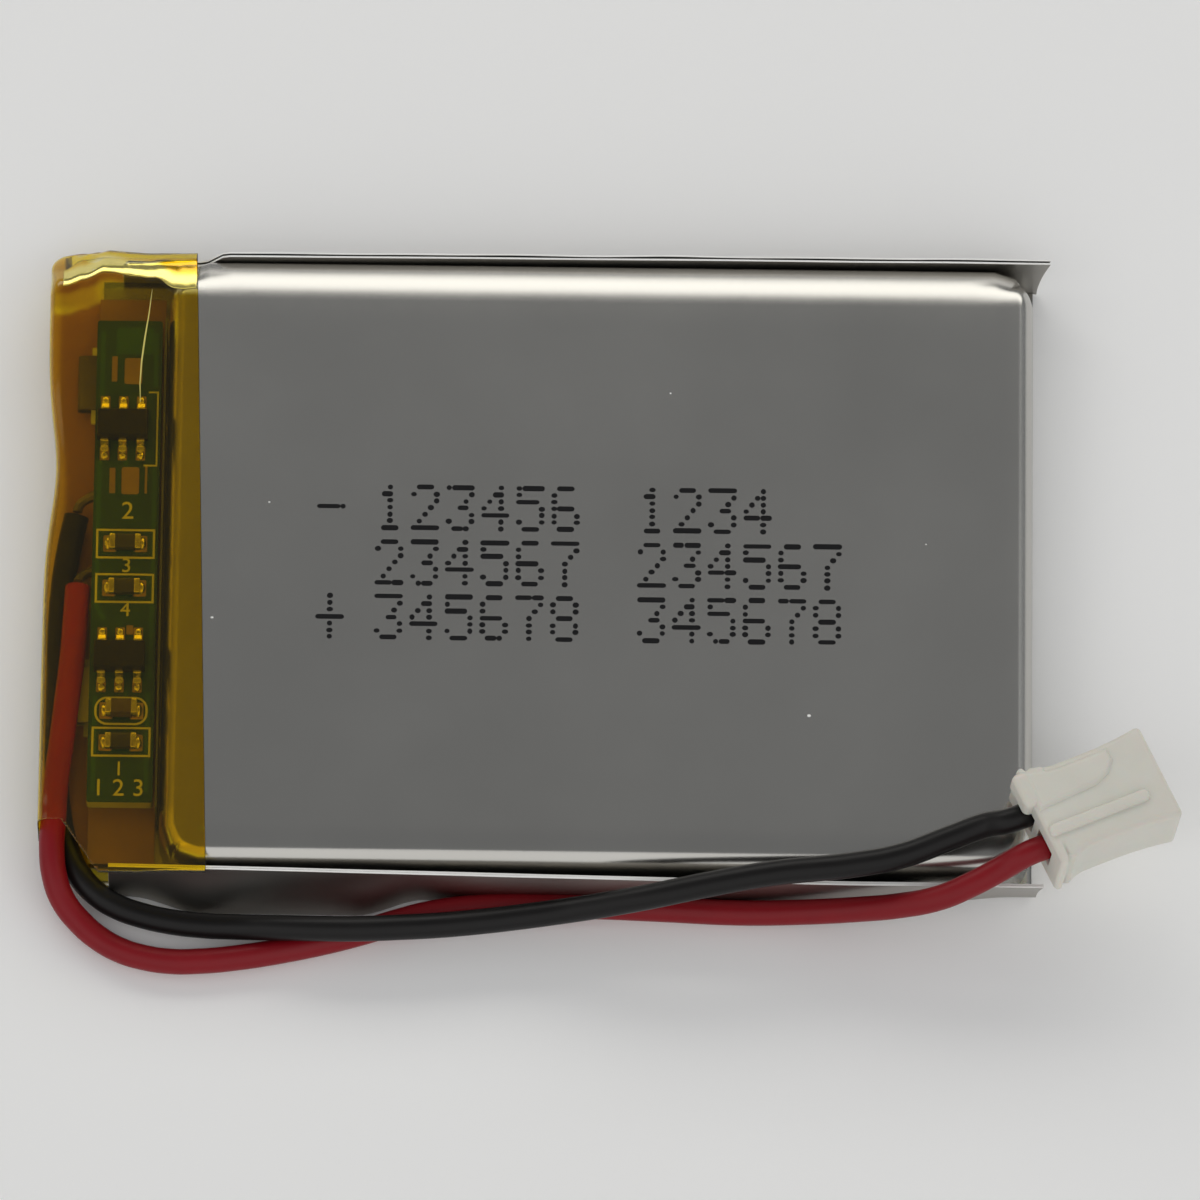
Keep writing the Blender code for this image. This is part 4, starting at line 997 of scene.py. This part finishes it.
makePackage("protectionIc", *board["packages"][0], "protection_ic")
makePackage("switchIc", *board["packages"][1], "switch_ic")
for name, y, node in zip(("filterResistor", "senseResistor", "bridgeResistor"), (1.2, -1.25, -9.75),
                         ("filter_resistor", "sense_resistor", "bridge_resistor")):
    makeChip(name, y, 0.45, chipBlack, node)
makeChip("filterCapacitor", -8.0, 0.8, chipTan, "filter_capacitor")
filletPlaces = [(board["middle"] + side * 0.88, y, 0.42, 0.78, 0.30)
                for y in board["chips"] for side in (-1, 1)]
for x, y in board["packages"]:
    filletPlaces += [(x + k * board["leadPitch"], y + side * 1.52, 0.44, 0.50, 0.16)
                     for k in (-1, 0, 1) for side in (-1, 1)]
makeFillets("solderFillets", filletPlaces)
print("parts placed")


# plug

plug = dict(length=6.9, width=4.8, thickness=3.6, wing=0.5, wingShare=0.27, flare=0.3, cavity=1.5,
            ribWidth=0.66, ribHeight=0.24, ribLength=0.83, edge=0.34, pitch=2.0, raised=0.22, step=0.42,
            root=0.7, slices=26)


def plugHalfWidth(share):  # the sides are hollow between the finger wings and the mating end
    half = plug["width"] / 2
    wing = plug["wing"] * (0.5 + 0.5 * cos(pi * min(share / plug["wingShare"], 1)))
    flare = plug["flare"] * max(0.0, (share - 0.5) / 0.5) ** 2
    return half + wing + flare


def cutBox(name, low, high, place):
    bm = bmesh.new()
    addBox(bm, low, high)
    bm.transform(place)
    return toMesh(name, bm, nylon)


def plugPad(points, low, high, edge, place, name):  # a raised part of the housing's upper side
    bm = bmesh.new()
    top = plate(bm, points, low, high - low)
    rim = {e for v in top for e in v.link_edges if e.other_vert(v) in top}
    bevelEdges(bm, list(rim), edge, 5)
    bm.transform(place)
    return toMesh(name, bm, nylon)


def makePlug():
    place = plugMatrix()
    length, half = plug["length"], plug["thickness"] / 2
    bm = bmesh.new()
    addBox(bm, (0, -1, -half), (length, 1, half))
    for k in range(2, plug["slices"] - 1):
        bmesh.ops.bisect_plane(bm, geom=everythingIn(bm), dist=1e-7,
                               plane_co=(length * k / plug["slices"] * mm, 0, 0), plane_no=(1, 0, 0))
    for v in bm.verts:
        v.co.y *= plugHalfWidth(v.co.x / mm / length)
    lengthwise = [e for e in bm.edges if abs(e.verts[0].co.x - e.verts[1].co.x) > 0.05 * mm]
    ends = [e for e in bm.edges if min(v.co.x for v in e.verts) > (length - 0.01) * mm]
    ends += [e for e in bm.edges if max(v.co.x for v in e.verts) < 0.01 * mm]
    bevelEdges(bm, lengthwise + ends, plug["edge"], 6)
    bm.transform(place)
    piece = toMesh("plugHousing", bm, nylon, smoothAngle=40)
    far = [plugHalfWidth(share / 10) - 0.30 for share in range(8)]
    farPad = [(0.10, 0.20), (length * 0.50, 0.42), (length * 0.62, 0.75), (length * 0.70, 1.35)]
    farPad += [(length * share / 10, far[share]) for share in range(7, 0, -1)] + [(0.10, far[0] - 0.15)]
    root = half - plug["root"]
    parts = [plugPad(farPad, root, half + plug["raised"], 0.34, place, "plugPadFar")]
    ribMiddle = -plug["pitch"] / 2
    rib = roundedPoints(0.08, length * plug["ribLength"], ribMiddle - plug["ribWidth"] / 2,
                        ribMiddle + plug["ribWidth"] / 2, 0.30)
    parts.append(plugPad(rib, root, half + plug["ribHeight"], 0.20, place, "plugPadRib"))
    stepBox = roundedPoints(-plug["step"], 1.4, 0.62, 2.55, 0.32)
    parts.append(plugPad(stepBox, 0.85, half + plug["raised"] - 0.06, 0.32, place, "plugPadStep"))
    hollow = plug["cavity"] / 2
    cutters = [cutBox("plugCavity", (-1, y - hollow, -hollow), (length + 1, y + hollow, hollow), place)
               for y in (-plug["pitch"] / 2, plug["pitch"] / 2)]
    for thing in parts + cutters:
        cut = piece.modifiers.new("cut", "BOOLEAN")
        cut.object = thing
        cut.operation = "UNION" if thing in parts else "DIFFERENCE"
    bpy.context.view_layer.update()
    done = finalMesh(piece)
    piece.modifiers.clear()
    piece.data = done
    for thing in parts + cutters:
        bpy.data.objects.remove(thing)
    done.shade_smooth()
    done.set_sharp_from_angle(angle=radians(38))
    even = piece.modifiers.new("evenShading", "WEIGHTED_NORMAL")
    even.keep_sharp = True
    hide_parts("plug_housing")
    return piece


plugHousing = makePlug()
print("plug made")


# print on the face: polarity marks and plain counting digits

facePrint = dict(pitch=(0.29, 0.375), half=(0.155, 0.14), charPitch=1.79, ink=0.006, unbroken=0.9,
                 rows=(2.90, -0.14, -3.15), columns=(-8.62, 4.75), signs=-11.6)
printRows = [("123456", "1234"), ("234567", "234567"), ("345678", "345678")]


def makePrint():
    random.seed(4)
    bm = bmesh.new()
    pitchX, pitchY = facePrint["pitch"]
    halfWide, halfTall = facePrint["half"]

    def bar(x0, x1, y):  # one dash with round ends
        wide = halfWide + random.uniform(-0.025, 0.015)
        tall = halfTall + random.uniform(-0.02, 0.015)
        ring = []
        for k in range(12):
            a = radians(30 * k - 75)
            end = x1 if cos(a) > 0 else x0
            ring.append((end + wide * cos(a), y + tall * sin(a)))
        plate(bm, ring, faceHeight((x0 + x1) / 2, y) - 0.002, facePrint["ink"])

    def glyph(character, left, middle):
        for row, line in enumerate(digitRows[character].split()):
            y = middle + (3 - row) * pitchY + random.uniform(-0.02, 0.02)
            column = 0
            while column < len(line):
                if line[column] == "0":
                    column += 1
                    continue
                end = column
                while (end + 1 < len(line) and line[end + 1] == "1"
                       and random.random() < facePrint["unbroken"]):
                    end += 1
                bar(left + column * pitchX, left + end * pitchX, y)
                column = end + 1

    for (first, second), y in zip(printRows, facePrint["rows"]):
        for group, left in zip((first, second), facePrint["columns"]):
            for k, character in enumerate(group):
                glyph(character, left + k * facePrint["charPitch"], y)
    glyph("-", facePrint["signs"], facePrint["rows"][0])
    glyph("+", facePrint["signs"], facePrint["rows"][2])
    printPiece = toMesh("facePrint", bm, markInk)


makePrint()


def makeDust():  # a few specks that lie on the film
    random.seed(9)
    bm = bmesh.new()
    spots = [(13.4, -8.3, 0.10), (-17.0, -3.3, 0.08), (-14.2, 3.1, 0.06), (6.2, 9.4, 0.05),
             (19.3, 1.2, 0.05)]
    for x, y, radius in spots:
        made = bmesh.ops.create_icosphere(bm, subdivisions=2, radius=radius * mm)
        bmesh.ops.scale(bm, vec=(1.0, random.uniform(0.6, 1.0), 0.35), verts=made["verts"])
        bmesh.ops.translate(bm, vec=Vector((x, y, faceHeight(x, y))) * mm, verts=made["verts"])
    dust = toMesh("dustSpecks", bm, rimHighlightAndDust, smoothAngle=60)


makeDust()
print("print and specks made")


# finishes of the CAD nodes that stay

nodeFinish = {
    "terrace_film": foil, "anode_sheet": graphite, "cathode_sheet": oxide,
    "separator_inner": separatorFilm, "separator_outer": separatorFilm, "core_end_tape": innerAmber,
    "negative_tab": darkTab, "positive_tab": tabMetal, "negative_tab_sealant": sealResin,
    "positive_tab_sealant": sealResin, "terrace_insulation": innerAmber,
    "insulating_paper": paperBoard, "negative_strip": nickel, "positive_strip": nickel,
    "solder_black": darkTab, "solder_red": darkTab, "contact_negative": solderTin,
    "contact_positive": solderTin,
}
for nodeName, finish in nodeFinish.items():
    nodes[nodeName].data.materials.clear()
    nodes[nodeName].data.materials.append(finish)


# floor and light

floorSize = 1.2
lamps = [
    ("windowBehind", (0.0, 0.66, 0.46), (1.5, 0.37), 3.3, (1.0, 0.98, 0.93)),
    ("leftPanel", (-0.9, -0.1, 0.60), (1.0, 0.9), 1.5, (1.0, 0.98, 0.95)),
    ("rightPanel", (0.9, -0.1, 0.60), (1.0, 0.9), 1.4, (0.95, 0.98, 1.0)),
    ("frontPanel", (0.0, -0.85, 0.75), (2.6, 1.5), 9.0, (1.0, 0.99, 0.97)),
]


def makeStage():
    bm = bmesh.new()
    bmesh.ops.create_grid(bm, x_segments=1, y_segments=1, size=floorSize)
    bmesh.ops.translate(bm, verts=bm.verts, vec=(0, 0, -0.02 * mm))
    material, tree, shader = newMaterial("paleFloor")
    setPlain(shader, Base_Color=(0.96, 0.96, 0.96, 1), Roughness=0.9)
    floor = toMesh("floor", bm, material, body=None)


def addLight(name, place, size, watts, colour):  # each one faces the object
    data = bpy.data.lights.new(name, "AREA")
    data.shape = "RECTANGLE"
    data.size, data.size_y = size
    data.energy = watts
    data.color = colour
    lamp = addObject(name, data)
    lamp.location = place
    lamp.rotation_euler = (-Vector(place)).to_track_quat("-Z", "Y").to_euler()


def makeLight():
    world = bpy.data.worlds.new("studio")
    world.use_nodes = True
    setPlain(world.node_tree.nodes["Background"], Color=(0.95, 0.97, 1.0, 1), Strength=0.20)
    bpy.context.scene.world = world
    for lamp in lamps:
        addLight(*lamp)
    bpy.context.scene.view_settings.view_transform = "Standard"


makeStage()
makeLight()
print("stage and light placed")
